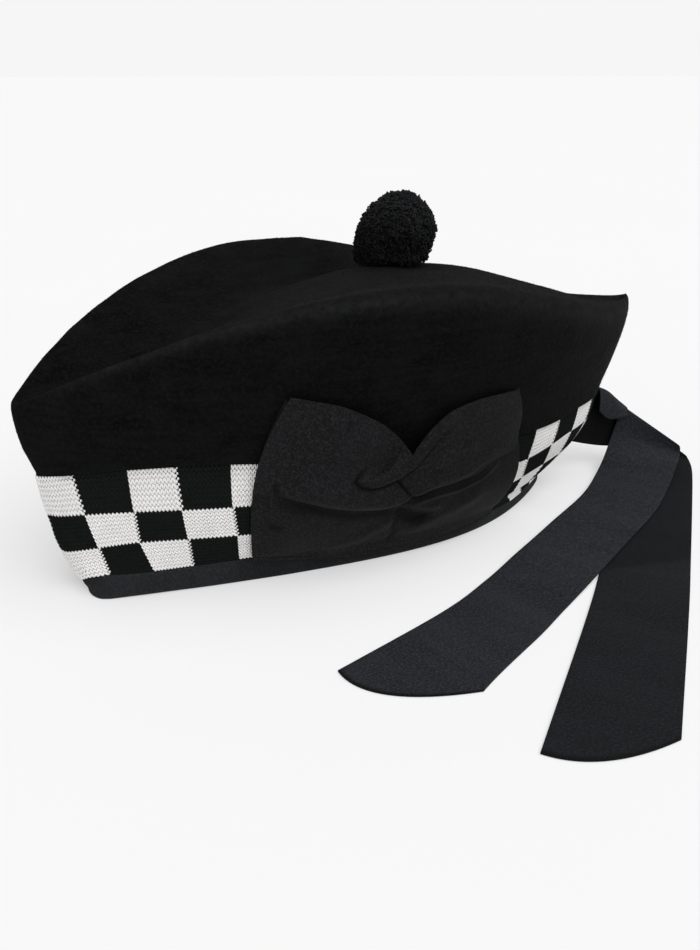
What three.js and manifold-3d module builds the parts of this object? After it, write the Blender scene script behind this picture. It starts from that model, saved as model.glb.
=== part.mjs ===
// Glengarry cap standing on its rim: felt crown, knitted dicing band, bound edge, toorie,
// ribbon cockade on the left side and two ribbon tails laid out behind.
// Millimetres, Z up. The front of the cap points to -X and the wearer's left is -Y.
// The rim lies on the plane z = 0, and the origin is the middle of the head opening.

import * as THREE from "three";
import { mergeVertices } from "three/addons/utils/BufferGeometryUtils.js";
import Module from "manifold-3d";

// Driving sizes

const STATIONS = 64;        // sections round the cap
const FELT = 2.2;           // crown wall
const KNIT = 2.0;           // dicing band wall
const BINDING = 3.0;        // bound edge, ribbon folded round the rim
const RIBBON = 1.0;         // cockade and tails
const GAP = 0.35;           // clearance between neighbouring pieces
const CROWN_PROUD = 1.2;    // the crown's lower edge stands out over the band
const BINDING_PROUD = 0.8;  // the bound edge stands out over the band
const BINDING_TOP = 0.21;   // level where the bound edge ends and the dicing begins
const BAND_TUCK = 1.07;     // level up to which the band is tucked behind the crown
const RIDGE_ROUND = 6.5;     // length of wall and of top panel taken up by the rounded ridge
const TIP_INSET = 9;        // the top panel's centre line ends this far inside each tip
const TAIL_LAYERS = 4;      // strips across a tail

// Level loops of the cap, each an oval seen from above.
// power sets how pointed the ends are: 1 is an ellipse, and more is leaf-shaped.
// shift is added to power at the front and taken from it at the back, round softens the tips,
// and swell widens the back half and narrows the front half.
// Heights along the loop: height in the middle, nod raises the front, bow the sides over the ends,
// ripple is the finer wave, lean raises the left of the back and lowers its right, sag lowers
// the sides of the back, and kick turns up the back tip.

const RIM = {
  centre: -7.5, halfLength: 125, halfWidth: 41, power: 1.1, shift: -1.1, round: 0.5, swell: 0.25,
  height: 0, nod: 0, bow: 0, ripple: 0, lean: 0, sag: 0, kick: 0,
};
const BAND_TOP = {
  centre: 3.5, halfLength: 148, halfWidth: 53, power: 1.76, shift: 0.24, round: 0.35, swell: 0,
  height: 54.2, nod: 3.4, bow: 3, ripple: 0, lean: 0, sag: 0, kick: 0,
};
const RIDGE = {
  centre: 9.8, halfLength: 160.7, halfWidth: 74, power: 1.84, shift: 0.1, round: 0.35, swell: 0,
  height: 110.2, nod: 3, bow: 20.1, ripple: -3.5, lean: 11, sag: 2.6, kick: 10.5,
};

// Side profile from the rim, level 0, to the top of the band, level 1: share of the flare reached.

const FLARE = [
  { level: 0, out: 0 },
  { level: 0.2, out: 0.06 },
  { level: 0.27, out: 0.26 },
  { level: 0.47, out: 0.64 },
  { level: 0.73, out: 0.9 },
  { level: 1, out: 1 },
];

// Top panel from front to back: height of its centre line, and how far the right half sinks beside it.

const TOP_PANEL = [
  { x: -151, centre: 85, sink: 0 },
  { x: -125, centre: 82, sink: 0 },
  { x: -100, centre: 87, sink: 0 },
  { x: -70, centre: 102, sink: 4 },
  { x: -38, centre: 117, sink: 10 },
  { x: 0, centre: 125.5, sink: 14 },
  { x: 24, centre: 126, sink: 13 },
  { x: 60, centre: 121.5, sink: 9 },
  { x: 100, centre: 110, sink: 5 },
  { x: 135, centre: 99, sink: 2 },
  { x: 168, centre: 92, sink: 0 },
];

// Cockade, a row for each section across its ribbon.
// turn is the place round the cap in degrees from the front, and level the place up its side,
// for the section's lower and upper end. bow bends the section round the cap, in degrees,
// and the lifts are distances from the side of the cap.

const COCKADE_UNDER = [
  { lowTurn: 61, low: 0.2, highTurn: 66, high: 1.46, bow: -3, liftLow: 2.4, liftMid: 2.8, liftHigh: 2.6 },
  { lowTurn: 70, low: 0.15, highTurn: 72, high: 1.16, bow: -1, liftLow: 2.6, liftMid: 3.2, liftHigh: 2.8 },
  { lowTurn: 79, low: 0.14, highTurn: 79, high: 0.98, bow: 0, liftLow: 2.6, liftMid: 3.6, liftHigh: 2.8 },
  { lowTurn: 88, low: 0.17, highTurn: 88, high: 0.88, bow: 0, liftLow: 3.2, liftMid: 2.8, liftHigh: 2.8 },
  { lowTurn: 97, low: 0.14, highTurn: 95, high: 0.98, bow: 0, liftLow: 2.6, liftMid: 3.6, liftHigh: 2.8 },
  { lowTurn: 106, low: 0.14, highTurn: 102, high: 1.14, bow: 1, liftLow: 2.6, liftMid: 3.2, liftHigh: 2.8 },
  { lowTurn: 115, low: 0.22, highTurn: 108.6, high: 1.38, bow: 2, liftLow: 2.4, liftMid: 2.8, liftHigh: 2.6 },
];
const COCKADE_LEFT_LOOP = [
  { lowTurn: 61.6, low: 0.76, highTurn: 66.6, high: 1.55, bow: -1, liftLow: 4.6, liftMid: 5, liftHigh: 4.4 },
  { lowTurn: 67, low: 0.74, highTurn: 71.8, high: 1.46, bow: -0.5, liftLow: 6.2, liftMid: 7.5, liftHigh: 5 },
  { lowTurn: 73, low: 0.65, highTurn: 77, high: 1.36, bow: 0, liftLow: 8.2, liftMid: 10, liftHigh: 6 },
  { lowTurn: 79, low: 0.6, highTurn: 81.6, high: 1.26, bow: 0, liftLow: 9, liftMid: 10.5, liftHigh: 7 },
  { lowTurn: 84.5, low: 0.58, highTurn: 85.2, high: 1.13, bow: 0, liftLow: 9.4, liftMid: 9.6, liftHigh: 8 },
  { lowTurn: 88, low: 0.66, highTurn: 87.4, high: 0.96, bow: 0, liftLow: 8.8, liftMid: 8.8, liftHigh: 8.4 },
];
const COCKADE_RIGHT_LOOP = [
  { lowTurn: 111, low: 0.76, highTurn: 107.4, high: 1.41, bow: 1, liftLow: 4.6, liftMid: 4.8, liftHigh: 4.4 },
  { lowTurn: 105.5, low: 0.7, highTurn: 101.5, high: 1.39, bow: 0.5, liftLow: 6, liftMid: 7.5, liftHigh: 5 },
  { lowTurn: 100, low: 0.64, highTurn: 96, high: 1.35, bow: 0, liftLow: 7.6, liftMid: 9, liftHigh: 5.6 },
  { lowTurn: 95.5, low: 0.61, highTurn: 92, high: 1.25, bow: 0, liftLow: 8, liftMid: 9, liftHigh: 6 },
  { lowTurn: 91.5, low: 0.62, highTurn: 89, high: 1.1, bow: 0, liftLow: 7.2, liftMid: 7.6, liftHigh: 6.2 },
  { lowTurn: 88.6, low: 0.68, highTurn: 87.6, high: 0.92, bow: 0, liftLow: 6, liftMid: 6, liftHigh: 6 },
];

// Ribbon root behind the cap: standing ribbon with its upper edge turned over to the left side.

const BACK_TIE = [
  { x: 152.5, lowX: 137.6, low: 17, high: 44.8, flap: 36 },
  { x: 158.6, lowX: 148.8, low: 14, high: 44.6, flap: 31.5 },
  { x: 164.5, lowX: 158.5, low: 12, high: 41, flap: 30.5 },
  { x: 170.3, lowX: 166, low: 10.5, high: 37.2, flap: 32.5 },
];
const TIE_FOLD = { back: -2.5, top: -4.8, front: -7.2, flap: -8.6, drop: 2.4 };

// Tails from the ribbon root to the cut end: middle of the ribbon, direction of its width seen
// from above, and bank, the slope of its width, in degrees. slant and rounding shape the cut.

const TAIL_OVER = {
  slant: 14.8,
  rounding: 11.5,
  sections: [
    { x: 182.5, y: -17.5, z: 24.8, across: -46, bank: -37, width: 39 },
    { x: 181.5, y: -18, z: 14, across: -40, bank: -15, width: 39 },
    { x: 174, y: -23, z: 6.4, across: -44, bank: -1, width: 39 },
    { x: 157.5, y: -33.6, z: 2.8, across: -54.5, bank: 0, width: 38.6 },
    { x: 131, y: -50.5, z: 1.95, across: -61, bank: 0, width: 37.8 },
    { x: 97.4, y: -67.9, z: 1.95, across: -62.5, bank: 0, width: 37.8 },
    { x: 63, y: -85.6, z: 1.95, across: -63, bank: 0, width: 37.8 },
    { x: 34.8, y: -98.9, z: 0.65, across: -64.5, bank: 0, width: 37.8 },
    { x: 4.4, y: -112.6, z: 0.5, across: -68, bank: 0, width: 39.6 },
    { x: -51, y: -131.6, z: 0.5, across: -73, bank: 0, width: 45.6 },
  ],
};
const TAIL_UNDER = {
  slant: 12.4,
  rounding: 7.3,
  sections: [
    { x: 188, y: -15.6, z: 18.4, across: -46, bank: -33, width: 39 },
    { x: 187.5, y: -18, z: 8, across: -43, bank: -12, width: 39 },
    { x: 180.5, y: -26.8, z: 1.7, across: -45.5, bank: 0, width: 38.8 },
    { x: 157, y: -49.5, z: 0.62, across: -46.7, bank: 0, width: 38.8 },
    { x: 107.4, y: -96, z: 0.5, across: -47.4, bank: 0, width: 38.8 },
    { x: 69.6, y: -130.9, z: 0.5, across: -49, bank: 0, width: 39 },
    { x: -4, y: -194.4, z: 0.5, across: -49.5, bank: 0, width: 42.6 },
  ],
};

// Toorie: head of the ball, and the yarn locks that stand out of it.

const TOORIE = {
  x: 25.4, z: 141, head: 15.2, stretch: 0.93, lean: 0.16, base: 126.9,
  locks: 40, lockRadius: 5.9, lockStretch: 1.15, lockPlace: 12.8,
};

// Small tools

function smooth(table, key, column, at) {
  // Value of a table column at a place along its key, on a curve through the rows.
  const last = table.length - 1;
  const place = Math.min(Math.max(at, table[0][key]), table[last][key]);
  let row = 0;
  while (row < last - 1 && place > table[row + 1][key]) row += 1;
  const slope = (i) => {
    const before = table[Math.max(i - 1, 0)];
    const after = table[Math.min(i + 1, last)];
    return (after[column] - before[column]) / (after[key] - before[key]);
  };
  const a = table[row];
  const b = table[row + 1];
  const span = b[key] - a[key];
  const u = (place - a[key]) / span;
  const rise = slope(row) * span * u * (1 - u) ** 2 - slope(row + 1) * span * u * u * (1 - u);
  return a[column] * (1 + 2 * u) * (1 - u) ** 2 + b[column] * (3 - 2 * u) * u * u + rise;
}

function numbered(rows) {
  // The same rows with their order as a column, so that a curve can run through them.
  return rows.map((row, order) => ({ ...row, order }));
}

function loopPoint(loop, turn) {
  // Point of a level loop. Turn 0 is the front, and a quarter turn is the wearer's left.
  const c = Math.cos(turn);
  const s = Math.sin(turn);
  const softened = (s * s + loop.round ** 2) / (1 + loop.round ** 2);
  const halfWidth = loop.halfWidth * (1 - loop.swell * c);
  const y = -halfWidth * s * softened ** ((loop.power + loop.shift * c - 1) / 2);
  const waves = loop.nod * c - loop.bow * Math.cos(2 * turn) + loop.ripple * Math.cos(3 * turn);
  const back = Math.max(0, -c);
  const tip = Math.max(0, (back - 0.6) / 0.4);
  const sides = loop.lean * s * back - 2 * loop.sag * Math.abs(s) * back;
  const z = loop.height + waves + sides + loop.kick * tip * tip;
  return new THREE.Vector3(loop.centre - loop.halfLength * c, y, z);
}

function sidePoint(turn, level) {
  // Side of the cap: level 0 at the rim, 1 at the top of the band, 2 at the ridge.
  const top = loopPoint(BAND_TOP, turn);
  if (level > 1) return top.lerp(loopPoint(RIDGE, turn), level - 1);
  const point = loopPoint(RIM, turn).lerp(top, smooth(FLARE, "level", "out", level));
  point.z = top.z * level;
  return point;
}

function sideOut(turn, level) {
  // Level direction pointing away from the side of the cap.
  const step = 0.01;
  const along = sidePoint(turn + step, level).sub(sidePoint(turn - step, level));
  return new THREE.Vector3(along.y, -along.x, 0).normalize();
}

function offSide(turn, level, distance) {
  return sidePoint(turn, level).addScaledVector(sideOut(turn, level), distance);
}

function solidFrom(points, triangles) {
  const geometry = new THREE.BufferGeometry();
  const positions = points.flatMap((p) => [p.x, p.y, p.z]);
  geometry.setAttribute("position", new THREE.Float32BufferAttribute(positions, 3));
  geometry.setIndex(triangles);
  return mergeVertices(geometry, 1e-3);
}

function quad(triangles, a, b, c, d) {
  triangles.push(a, b, c, a, c, d);
}

function turnAt(station) {
  return (2 * Math.PI * station) / STATIONS;
}

// Walls of the cap

function ring(profile) {
  // Closed ring round the cap. The profile runs up the outside and down the inside.
  const points = [];
  const triangles = [];
  const count = profile.length;
  for (let station = 0; station < STATIONS; station += 1) {
    for (const { level, out } of profile) points.push(offSide(turnAt(station), level, out));
    const here = station * count;
    const next = ((station + 1) % STATIONS) * count;
    for (let i = 0; i < count; i += 1) {
      const j = (i + 1) % count;
      quad(triangles, here + i, next + i, next + j, here + j);
    }
  }
  return solidFrom(points, triangles);
}

function dicingBand() {
  const low = BINDING_TOP + GAP / BAND_TOP.height;
  const tucked = CROWN_PROUD - FELT - GAP;
  return ring([
    { level: low, out: 0 },
    { level: 0.28, out: 0 },
    { level: 0.4, out: 0 },
    { level: 0.58, out: 0 },
    { level: 0.76, out: 0 },
    { level: 0.93, out: 0 },
    { level: 0.985, out: tucked },
    { level: BAND_TUCK, out: tucked },
    { level: BAND_TUCK, out: tucked - KNIT },
    { level: 0.76, out: -KNIT },
    { level: 0.4, out: -KNIT },
    { level: low, out: -KNIT },
  ]);
}

function edgeBinding() {
  return ring([
    { level: 0, out: BINDING_PROUD - 0.4 },
    { level: 0.03, out: BINDING_PROUD },
    { level: BINDING_TOP, out: BINDING_PROUD },
    { level: BINDING_TOP, out: BINDING_PROUD - BINDING },
    { level: 0, out: BINDING_PROUD - BINDING },
  ]);
}

function panelPoint(turn, share) {
  // Top panel on its way from the ridge, share 1, to the centre line, share 0.
  const ridge = loopPoint(RIDGE, turn);
  const centreX = RIDGE.centre - (RIDGE.halfLength - TIP_INSET) * Math.cos(turn);
  const centre = smooth(TOP_PANEL, "x", "centre", centreX);
  const rightHalf = Math.max(0, -Math.sin(turn));
  const sink = smooth(TOP_PANEL, "x", "sink", centreX) * rightHalf;
  const fall = 1 - share ** 1.4;
  const trough = Math.sin(Math.PI * share) ** 1.5;
  const z = ridge.z + (centre - ridge.z) * fall - sink * trough;
  return new THREE.Vector3(centreX + (ridge.x - centreX) * share, ridge.y * share, z);
}

function crownSection(turn) {
  // Outer line of the crown from its lower edge over the rounded ridge to the centre line.
  const ridge = loopPoint(RIDGE, turn);
  const wallRows = 5;
  const panelRows = 6;
  const foot = loopPoint(BAND_TOP, turn);
  const wallStop = 1 - RIDGE_ROUND / ridge.distanceTo(foot);
  const reach = ridge.distanceTo(panelPoint(turn, 0));
  const panelStart = 1 - Math.min(RIDGE_ROUND / reach, 0.5);
  const line = [];
  for (let row = 0; row <= wallRows; row += 1) {
    const climbed = (wallStop * row) / wallRows;
    line.push(offSide(turn, 1 + climbed, CROWN_PROUD * (1 - climbed)));
  }
  const before = line[wallRows];
  const after = panelPoint(turn, panelStart);
  for (const u of [0.25, 0.5, 0.75]) {
    const curve = before.clone().multiplyScalar((1 - u) ** 2);
    curve.addScaledVector(ridge, 2 * u * (1 - u)).addScaledVector(after, u * u);
    line.push(curve);
  }
  for (let row = 0; row <= panelRows; row += 1) {
    line.push(panelPoint(turn, panelStart * (1 - row / panelRows)));
  }
  return line;
}

function crown() {
  // The outer skin is one net of sections; the inner skin lies a felt's thickness inside it.
  const outer = [];
  const faces = [];
  const sections = Array.from({ length: STATIONS }, (_, station) => crownSection(turnAt(station)));
  const rows = sections[0].length;
  for (const section of sections) outer.push(...section);
  for (let station = 0; station < STATIONS; station += 1) {
    const here = station * rows;
    const next = ((station + 1) % STATIONS) * rows;
    for (let row = 0; row < rows - 1; row += 1) {
      quad(faces, here + row, next + row, next + row + 1, here + row + 1);
    }
  }
  const skin = solidFrom(outer, faces);
  skin.computeVertexNormals();
  const place = skin.getAttribute("position");
  const normal = skin.getAttribute("normal");
  const points = [];
  for (const depth of [0, FELT]) {
    for (let i = 0; i < place.count; i += 1) {
      const point = new THREE.Vector3().fromBufferAttribute(place, i);
      points.push(point.addScaledVector(new THREE.Vector3().fromBufferAttribute(normal, i), -depth));
    }
  }
  const outward = Array.from(skin.getIndex().array);
  const inward = [];
  for (let i = 0; i < outward.length; i += 3) {
    inward.push(outward[i] + place.count, outward[i + 2] + place.count, outward[i + 1] + place.count);
  }
  const triangles = outward.concat(inward);
  for (const [a, b] of openEdges(outward)) {
    quad(triangles, b, a, a + place.count, b + place.count);
  }
  return solidFrom(points, triangles);
}

function openEdges(triangles) {
  // Edges used by one triangle only, in that triangle's direction.
  const used = new Set();
  for (let i = 0; i < triangles.length; i += 3) {
    for (let k = 0; k < 3; k += 1) used.add(`${triangles[i + k]},${triangles[i + ((k + 1) % 3)]}`);
  }
  const edges = Array.from(used, (edge) => edge.split(",").map(Number));
  return edges.filter(([a, b]) => a !== b && !used.has(`${b},${a}`));
}

// Ribbon

function ribbon(net, thickness) {
  // Closed sheet round a net of rows of points, half its thickness to each side.
  const rows = net.length;
  const columns = net[0].length;
  const near = [];
  const far = [];
  for (let i = 0; i < rows; i += 1) {
    for (let j = 0; j < columns; j += 1) {
      const along = net[Math.min(i + 1, rows - 1)][j].clone().sub(net[Math.max(i - 1, 0)][j]);
      const across = net[i][Math.min(j + 1, columns - 1)].clone().sub(net[i][Math.max(j - 1, 0)]);
      const side = along.cross(across).normalize().multiplyScalar(thickness / 2);
      near.push(net[i][j].clone().add(side));
      far.push(net[i][j].clone().sub(side));
    }
  }
  const triangles = [];
  const back = near.length;
  const at = (i, j) => i * columns + j;
  for (let i = 0; i < rows - 1; i += 1) {
    for (let j = 0; j < columns - 1; j += 1) {
      quad(triangles, at(i, j), at(i + 1, j), at(i + 1, j + 1), at(i, j + 1));
      quad(triangles, back + at(i, j), back + at(i, j + 1), back + at(i + 1, j + 1), back + at(i + 1, j));
    }
  }
  for (const [a, b] of openEdges(triangles).filter(([first]) => first < back)) {
    quad(triangles, b, a, a + back, b + back);
  }
  return solidFrom(near.concat(far), triangles);
}

function cockadeSheet(sections, steps, layers) {
  const rows = numbered(sections);
  const net = [];
  for (let i = 0; i <= steps; i += 1) {
    const order = ((rows.length - 1) * i) / steps;
    const value = (column) => smooth(rows, "order", column, order);
    const line = [];
    for (let j = 0; j <= layers; j += 1) {
      const v = j / layers;
      const bend = value("bow") * 4 * v * (1 - v);
      const turn = value("lowTurn") + (value("highTurn") - value("lowTurn")) * v + bend;
      const level = value("low") + (value("high") - value("low")) * v;
      const ends = value("liftLow") * (1 - v) + value("liftHigh") * v;
      const belly = value("liftMid") - (value("liftLow") + value("liftHigh")) / 2;
      line.push(offSide(THREE.MathUtils.degToRad(turn), level, ends + belly * 4 * v * (1 - v)));
    }
    net.push(line);
  }
  return ribbon(net, RIBBON);
}

function backTie() {
  const rows = numbered(BACK_TIE);
  const steps = 6;
  const net = [];
  for (let i = 0; i <= steps; i += 1) {
    const order = ((rows.length - 1) * i) / steps;
    const value = (column) => smooth(rows, "order", column, order);
    const shoulder = value("high") - TIE_FOLD.drop;
    net.push([
      new THREE.Vector3(value("lowX"), TIE_FOLD.back, value("low")),
      new THREE.Vector3((value("lowX") + value("x")) / 2, TIE_FOLD.back, (value("low") + shoulder) / 2),
      new THREE.Vector3(value("x"), TIE_FOLD.back, shoulder),
      new THREE.Vector3(value("x"), TIE_FOLD.top, value("high")),
      new THREE.Vector3(value("x"), TIE_FOLD.front, shoulder),
      new THREE.Vector3(value("x"), TIE_FOLD.flap, value("flap")),
    ]);
  }
  return ribbon(net, RIBBON);
}

function tail({ sections, slant, rounding }) {
  const rows = numbered(sections);
  const steps = 4 * (rows.length - 1);
  const net = [];
  for (let i = 0; i <= steps; i += 1) {
    const order = ((rows.length - 1) * i) / steps;
    const value = (column) => smooth(rows, "order", column, order);
    const across = THREE.MathUtils.degToRad(value("across"));
    const bank = THREE.MathUtils.degToRad(value("bank"));
    const width = new THREE.Vector3(
      Math.cos(across) * Math.cos(bank), Math.sin(across) * Math.cos(bank), Math.sin(bank));
    const ahead = new THREE.Vector3(Math.sin(across), -Math.cos(across), 0);
    const line = [];
    for (let j = 0; j <= TAIL_LAYERS; j += 1) {
      const v = (2 * j) / TAIL_LAYERS - 1;
      const cut = Math.max(0, order - (rows.length - 2)) * (-slant * v - rounding * v * v);
      const point = new THREE.Vector3(value("x"), value("y"), value("z"));
      line.push(point.addScaledVector(width, (v * value("width")) / 2).addScaledVector(ahead, cut));
    }
    net.push(line);
  }
  return ribbon(net, RIBBON);
}

// Toorie

function spread(count, index) {
  // Direction of one lock, spread evenly over a ball.
  const z = 1 - (2 * index + 1) / count;
  const turn = index * Math.PI * (3 - Math.sqrt(5));
  const level = Math.sqrt(1 - z * z);
  return new THREE.Vector3(level * Math.cos(turn), level * Math.sin(turn), z);
}

function toManifold(wasm, geometry) {
  geometry.deleteAttribute("normal");
  geometry.deleteAttribute("uv");
  const merged = mergeVertices(geometry, 1e-3);
  return new wasm.Manifold(new wasm.Mesh({
    numProp: 3,
    vertProperties: new Float32Array(merged.getAttribute("position").array),
    triVerts: new Uint32Array(merged.getIndex().array),
  }));
}

async function toorie() {
  // Head ball with its locks fused on, cut flat where it is sewn to the top panel.
  const wasm = await Module();
  wasm.setup();
  const up = new THREE.Vector3(0, 0, 1);
  let ball = toManifold(wasm, new THREE.IcosahedronGeometry(TOORIE.head, 2));
  for (let i = 0; i < TOORIE.locks; i += 1) {
    const direction = spread(TOORIE.locks, i);
    const lock = new THREE.IcosahedronGeometry(TOORIE.lockRadius, 1);
    lock.scale(1, 1, TOORIE.lockStretch);
    lock.applyQuaternion(new THREE.Quaternion().setFromUnitVectors(up, direction));
    lock.translate(...direction.multiplyScalar(TOORIE.lockPlace).toArray());
    ball = ball.add(toManifold(wasm, lock));
  }
  const block = new THREE.BoxGeometry(80, 80, 40);
  block.translate(0, 0, (TOORIE.base - TOORIE.z) / TOORIE.stretch - 20);
  const mesh = ball.subtract(toManifold(wasm, block)).getMesh();
  const geometry = new THREE.BufferGeometry();
  geometry.setAttribute("position", new THREE.BufferAttribute(new Float32Array(mesh.vertProperties), 3));
  geometry.setIndex(Array.from(mesh.triVerts));
  geometry.applyMatrix4(new THREE.Matrix4().makeShear(0, 0, 0, 0, TOORIE.lean, 0));
  geometry.scale(1, 1, TOORIE.stretch);
  geometry.translate(TOORIE.x, 0, TOORIE.z);
  return mergeVertices(geometry, 1e-3);
}

// Materials and assembly

const FELT_BLACK = { color: 0x17171a, roughness: 0.95, metalness: 0 };
const KNIT_WOOL = { color: 0xcfccc6, roughness: 0.95, metalness: 0 };
const RIBBON_BLACK = { color: 0x2a2b30, roughness: 0.7, metalness: 0 };
const YARN_BLACK = { color: 0x0f0f11, roughness: 1, metalness: 0 };

const glengarry = new THREE.Group();

function addPiece(name, geometry, look) {
  const piece = new THREE.Mesh(geometry, new THREE.MeshStandardMaterial(look));
  piece.name = name;
  glengarry.add(piece);
}

addPiece("crown", crown(), FELT_BLACK);
addPiece("dicing_band", dicingBand(), KNIT_WOOL);
addPiece("edge_binding", edgeBinding(), RIBBON_BLACK);
addPiece("toorie", await toorie(), YARN_BLACK);
addPiece("cockade_under", cockadeSheet(COCKADE_UNDER, 18, 6), RIBBON_BLACK);
addPiece("cockade_left_loop", cockadeSheet(COCKADE_LEFT_LOOP, 10, 6), RIBBON_BLACK);
addPiece("cockade_right_loop", cockadeSheet(COCKADE_RIGHT_LOOP, 10, 6), RIBBON_BLACK);
addPiece("back_tie", backTie(), RIBBON_BLACK);
addPiece("tail_over", tail(TAIL_OVER), RIBBON_BLACK);
addPiece("tail_under", tail(TAIL_UNDER), RIBBON_BLACK);

export default glengarry;
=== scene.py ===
"""Looks of the glengarry cap: felt crown, knitted dicing, bound edge, toorie, cockade and ribbon tails.

Shapes are worked out in millimetres in the frame of the CAD model and stored in metres.
The front of the cap points to -X, the wearer's left is -Y, and the rim stands on z = 0.
"""

import math

import bmesh
import bpy
import numpy as np
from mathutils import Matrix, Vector, noise


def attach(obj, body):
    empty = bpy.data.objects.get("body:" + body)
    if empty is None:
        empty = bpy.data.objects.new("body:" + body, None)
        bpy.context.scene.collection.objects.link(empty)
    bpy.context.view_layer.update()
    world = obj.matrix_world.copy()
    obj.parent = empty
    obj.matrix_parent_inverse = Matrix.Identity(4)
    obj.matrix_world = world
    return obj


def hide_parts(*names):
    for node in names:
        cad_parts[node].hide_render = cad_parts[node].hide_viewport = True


bl_info = {
    "name": "Glengarry cap",
    "version": (1, 0, 0),
    "blender": (4, 5, 0),
    "location": "3D View > Sidebar > Glengarry",
    "description": "Dresses the packed glengarry in felt, knit, ribbon and yarn",
    "category": "Object",
}

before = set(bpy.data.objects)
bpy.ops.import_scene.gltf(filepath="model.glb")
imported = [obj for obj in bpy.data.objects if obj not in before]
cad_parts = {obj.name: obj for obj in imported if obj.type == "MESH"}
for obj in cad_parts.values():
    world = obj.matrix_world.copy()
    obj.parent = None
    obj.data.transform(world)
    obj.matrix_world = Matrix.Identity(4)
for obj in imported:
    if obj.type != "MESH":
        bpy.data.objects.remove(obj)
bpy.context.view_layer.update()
BODY = "root"
MM = 0.001

# Level loops of the cap, each an oval seen from above, as in the part's source.

RIM = {
    "centre": -7.5, "half_length": 125, "half_width": 41, "power": 1.1, "shift": -1.1,
    "round": 0.5, "swell": 0.25, "height": 0, "nod": 0, "bow": 0, "ripple": 0,
    "near_lean": 0, "far_lean": 0, "sag": 0, "kick": 0,
}
BAND_TOP = {
    "centre": 3.5, "half_length": 148, "half_width": 53, "power": 1.76, "shift": 0.24,
    "round": 0.35, "swell": 0, "height": 54.2, "nod": 3.4, "bow": 3, "ripple": 0,
    "near_lean": 0, "far_lean": 0, "sag": 0, "kick": 0,
}
RIDGE = {
    "centre": 9.8, "half_length": 160.7, "half_width": 74, "power": 1.84, "shift": 0.1,
    "round": 0.35, "swell": 0, "height": 110.2, "nod": 3, "bow": 20.1, "ripple": -3.5,
    "near_lean": -4, "far_lean": 11, "sag": 2.6, "kick": 10.5,
}

# The back tip of a loop kicks up where the cosine of the turn, counted from the back, is past TIP_FROM.

TIP_FROM = 0.6

# Side profile from the rim, level 0, to the top of the band, level 1: share of the flare reached.

FLARE_LEVEL = (0, 0.2, 0.27, 0.47, 0.73, 1)
FLARE_OUT = (0, 0.06, 0.26, 0.64, 0.9, 1)

# Top panel from front to back: height of its centre line, and how far the right half sinks beside it.
# The powers shape its slope down to the ridge and the trough on the right.

PANEL_X = (-151, -125, -100, -70, -38, 0, 24, 60, 100, 135, 168)
PANEL_CENTRE = (85, 82, 87, 102, 117, 125.5, 126, 121.5, 110, 99, 92)
PANEL_SINK = (0, 0, 0, 4, 10, 14, 13, 9, 5, 2, 0)
SLOPE_POWER, TROUGH_POWER = 1.4, 1.5

# TIP_INSET is how far the centre line stops short of the ridge, CROWN_PROUD how far the felt stands out
# over the band, and NOSE_TUCK how far it is drawn in there at the front, fading up the wall at the rate
# NOSE_FADE. MOST_ROUNDED is the share of the top panel that the ridge's rounding may take up.

TIP_INSET, CROWN_PROUD, NOSE_TUCK, NOSE_FADE, MOST_ROUNDED = 9, 1.2, 2.0, 3, 0.5

# Net of the crown: stations round it, and rows on its wall, over its ridge and on its top panel.

CROWN_STATIONS, WALL_ROWS, RIDGE_ROWS, PANEL_ROWS = 256, 18, 12, 22

# Fibres of the nap: thickness in metres, lean in radians, least and most size as a share, and seed.

NAP_THICKNESS, NAP_LEAN, NAP_SPREAD, NAP_SEED = 0.00004, 1.25, (0.6, 1.5), 3

# Rounding of cut felt and knit, in metres.

FELT_EDGE, KNIT_EDGE = 0.0006, 0.0003

# Waves of the felt, each with its height, its width and the seed of its noise, and their share on the
# first rows at either edge.

FELT_WAVES = ((0.7, 34, 1), (0.3, 11, 2))
EDGE_CALM = (0, 0.3, 0.7)

# Wear and painted highlight of the ridge from front to back, as a share of the most. It is in two lines,
# each with its strength, its place over the rounding and its width, and weaker on the right side of the
# cap, which is turned from the light, as painted shade. The growths are how fast it sets in with the sine
# of the turn on the left, and over the rounding.

WEAR_X = (-140, -115, -40, 40, 120)
WEAR_SHARE = (0.1, 1, 1, 0.5, 0.4)
WEAR_AND_HIGHLIGHT_LINES = ((0.75, 0.45, 0.2), (0.5, 1.0, 0.16))
SHADED_RIGHT_SHARE, LEFT_GROWTH, PANEL_GROWTH = 0.25, 3, 1.2

# Painted light on the left of the top panel, which faces the light, lightening of its crease, and wear of
# the back tip: the most, the x where each begins and the length over which it grows. All of the crown's
# lightening fades in over the second width below, round the toorie, which leaves painted shadow at its foot.

PANEL_PAINTED_LIGHT, CREASE_LIGHTENING, TIP_WEAR = (0.28, -100, 60), (0.12, -70, 50), (0.55, 132, 34)
CREASE_WIDTH, TOORIE_SHADOW = 8, 12

# Rounding of the ridge: length of wall and of top panel that it takes up, by turn in degrees.

ROUND_TURN = (0, 30, 60, 90, 120, 150, 180, 210, 270, 330, 360)
ROUND_WALL = (18, 16, 16, 18, 18, 17, 16, 11, 7, 9, 18)
ROUND_PANEL = (5, 10, 12, 13, 12, 9, 6, 7, 6, 5, 5)

# Dicing: levels where the three rows of chequers begin and end, by turn in degrees from the front to
# the back. The band hangs over the binding at both ends, less far on the right side of the cap.
# CELL_LOW and CELL_RISE give the width of the first EVEN_CELLS chequers, at the levels in WIDTH_LEVEL.

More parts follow.
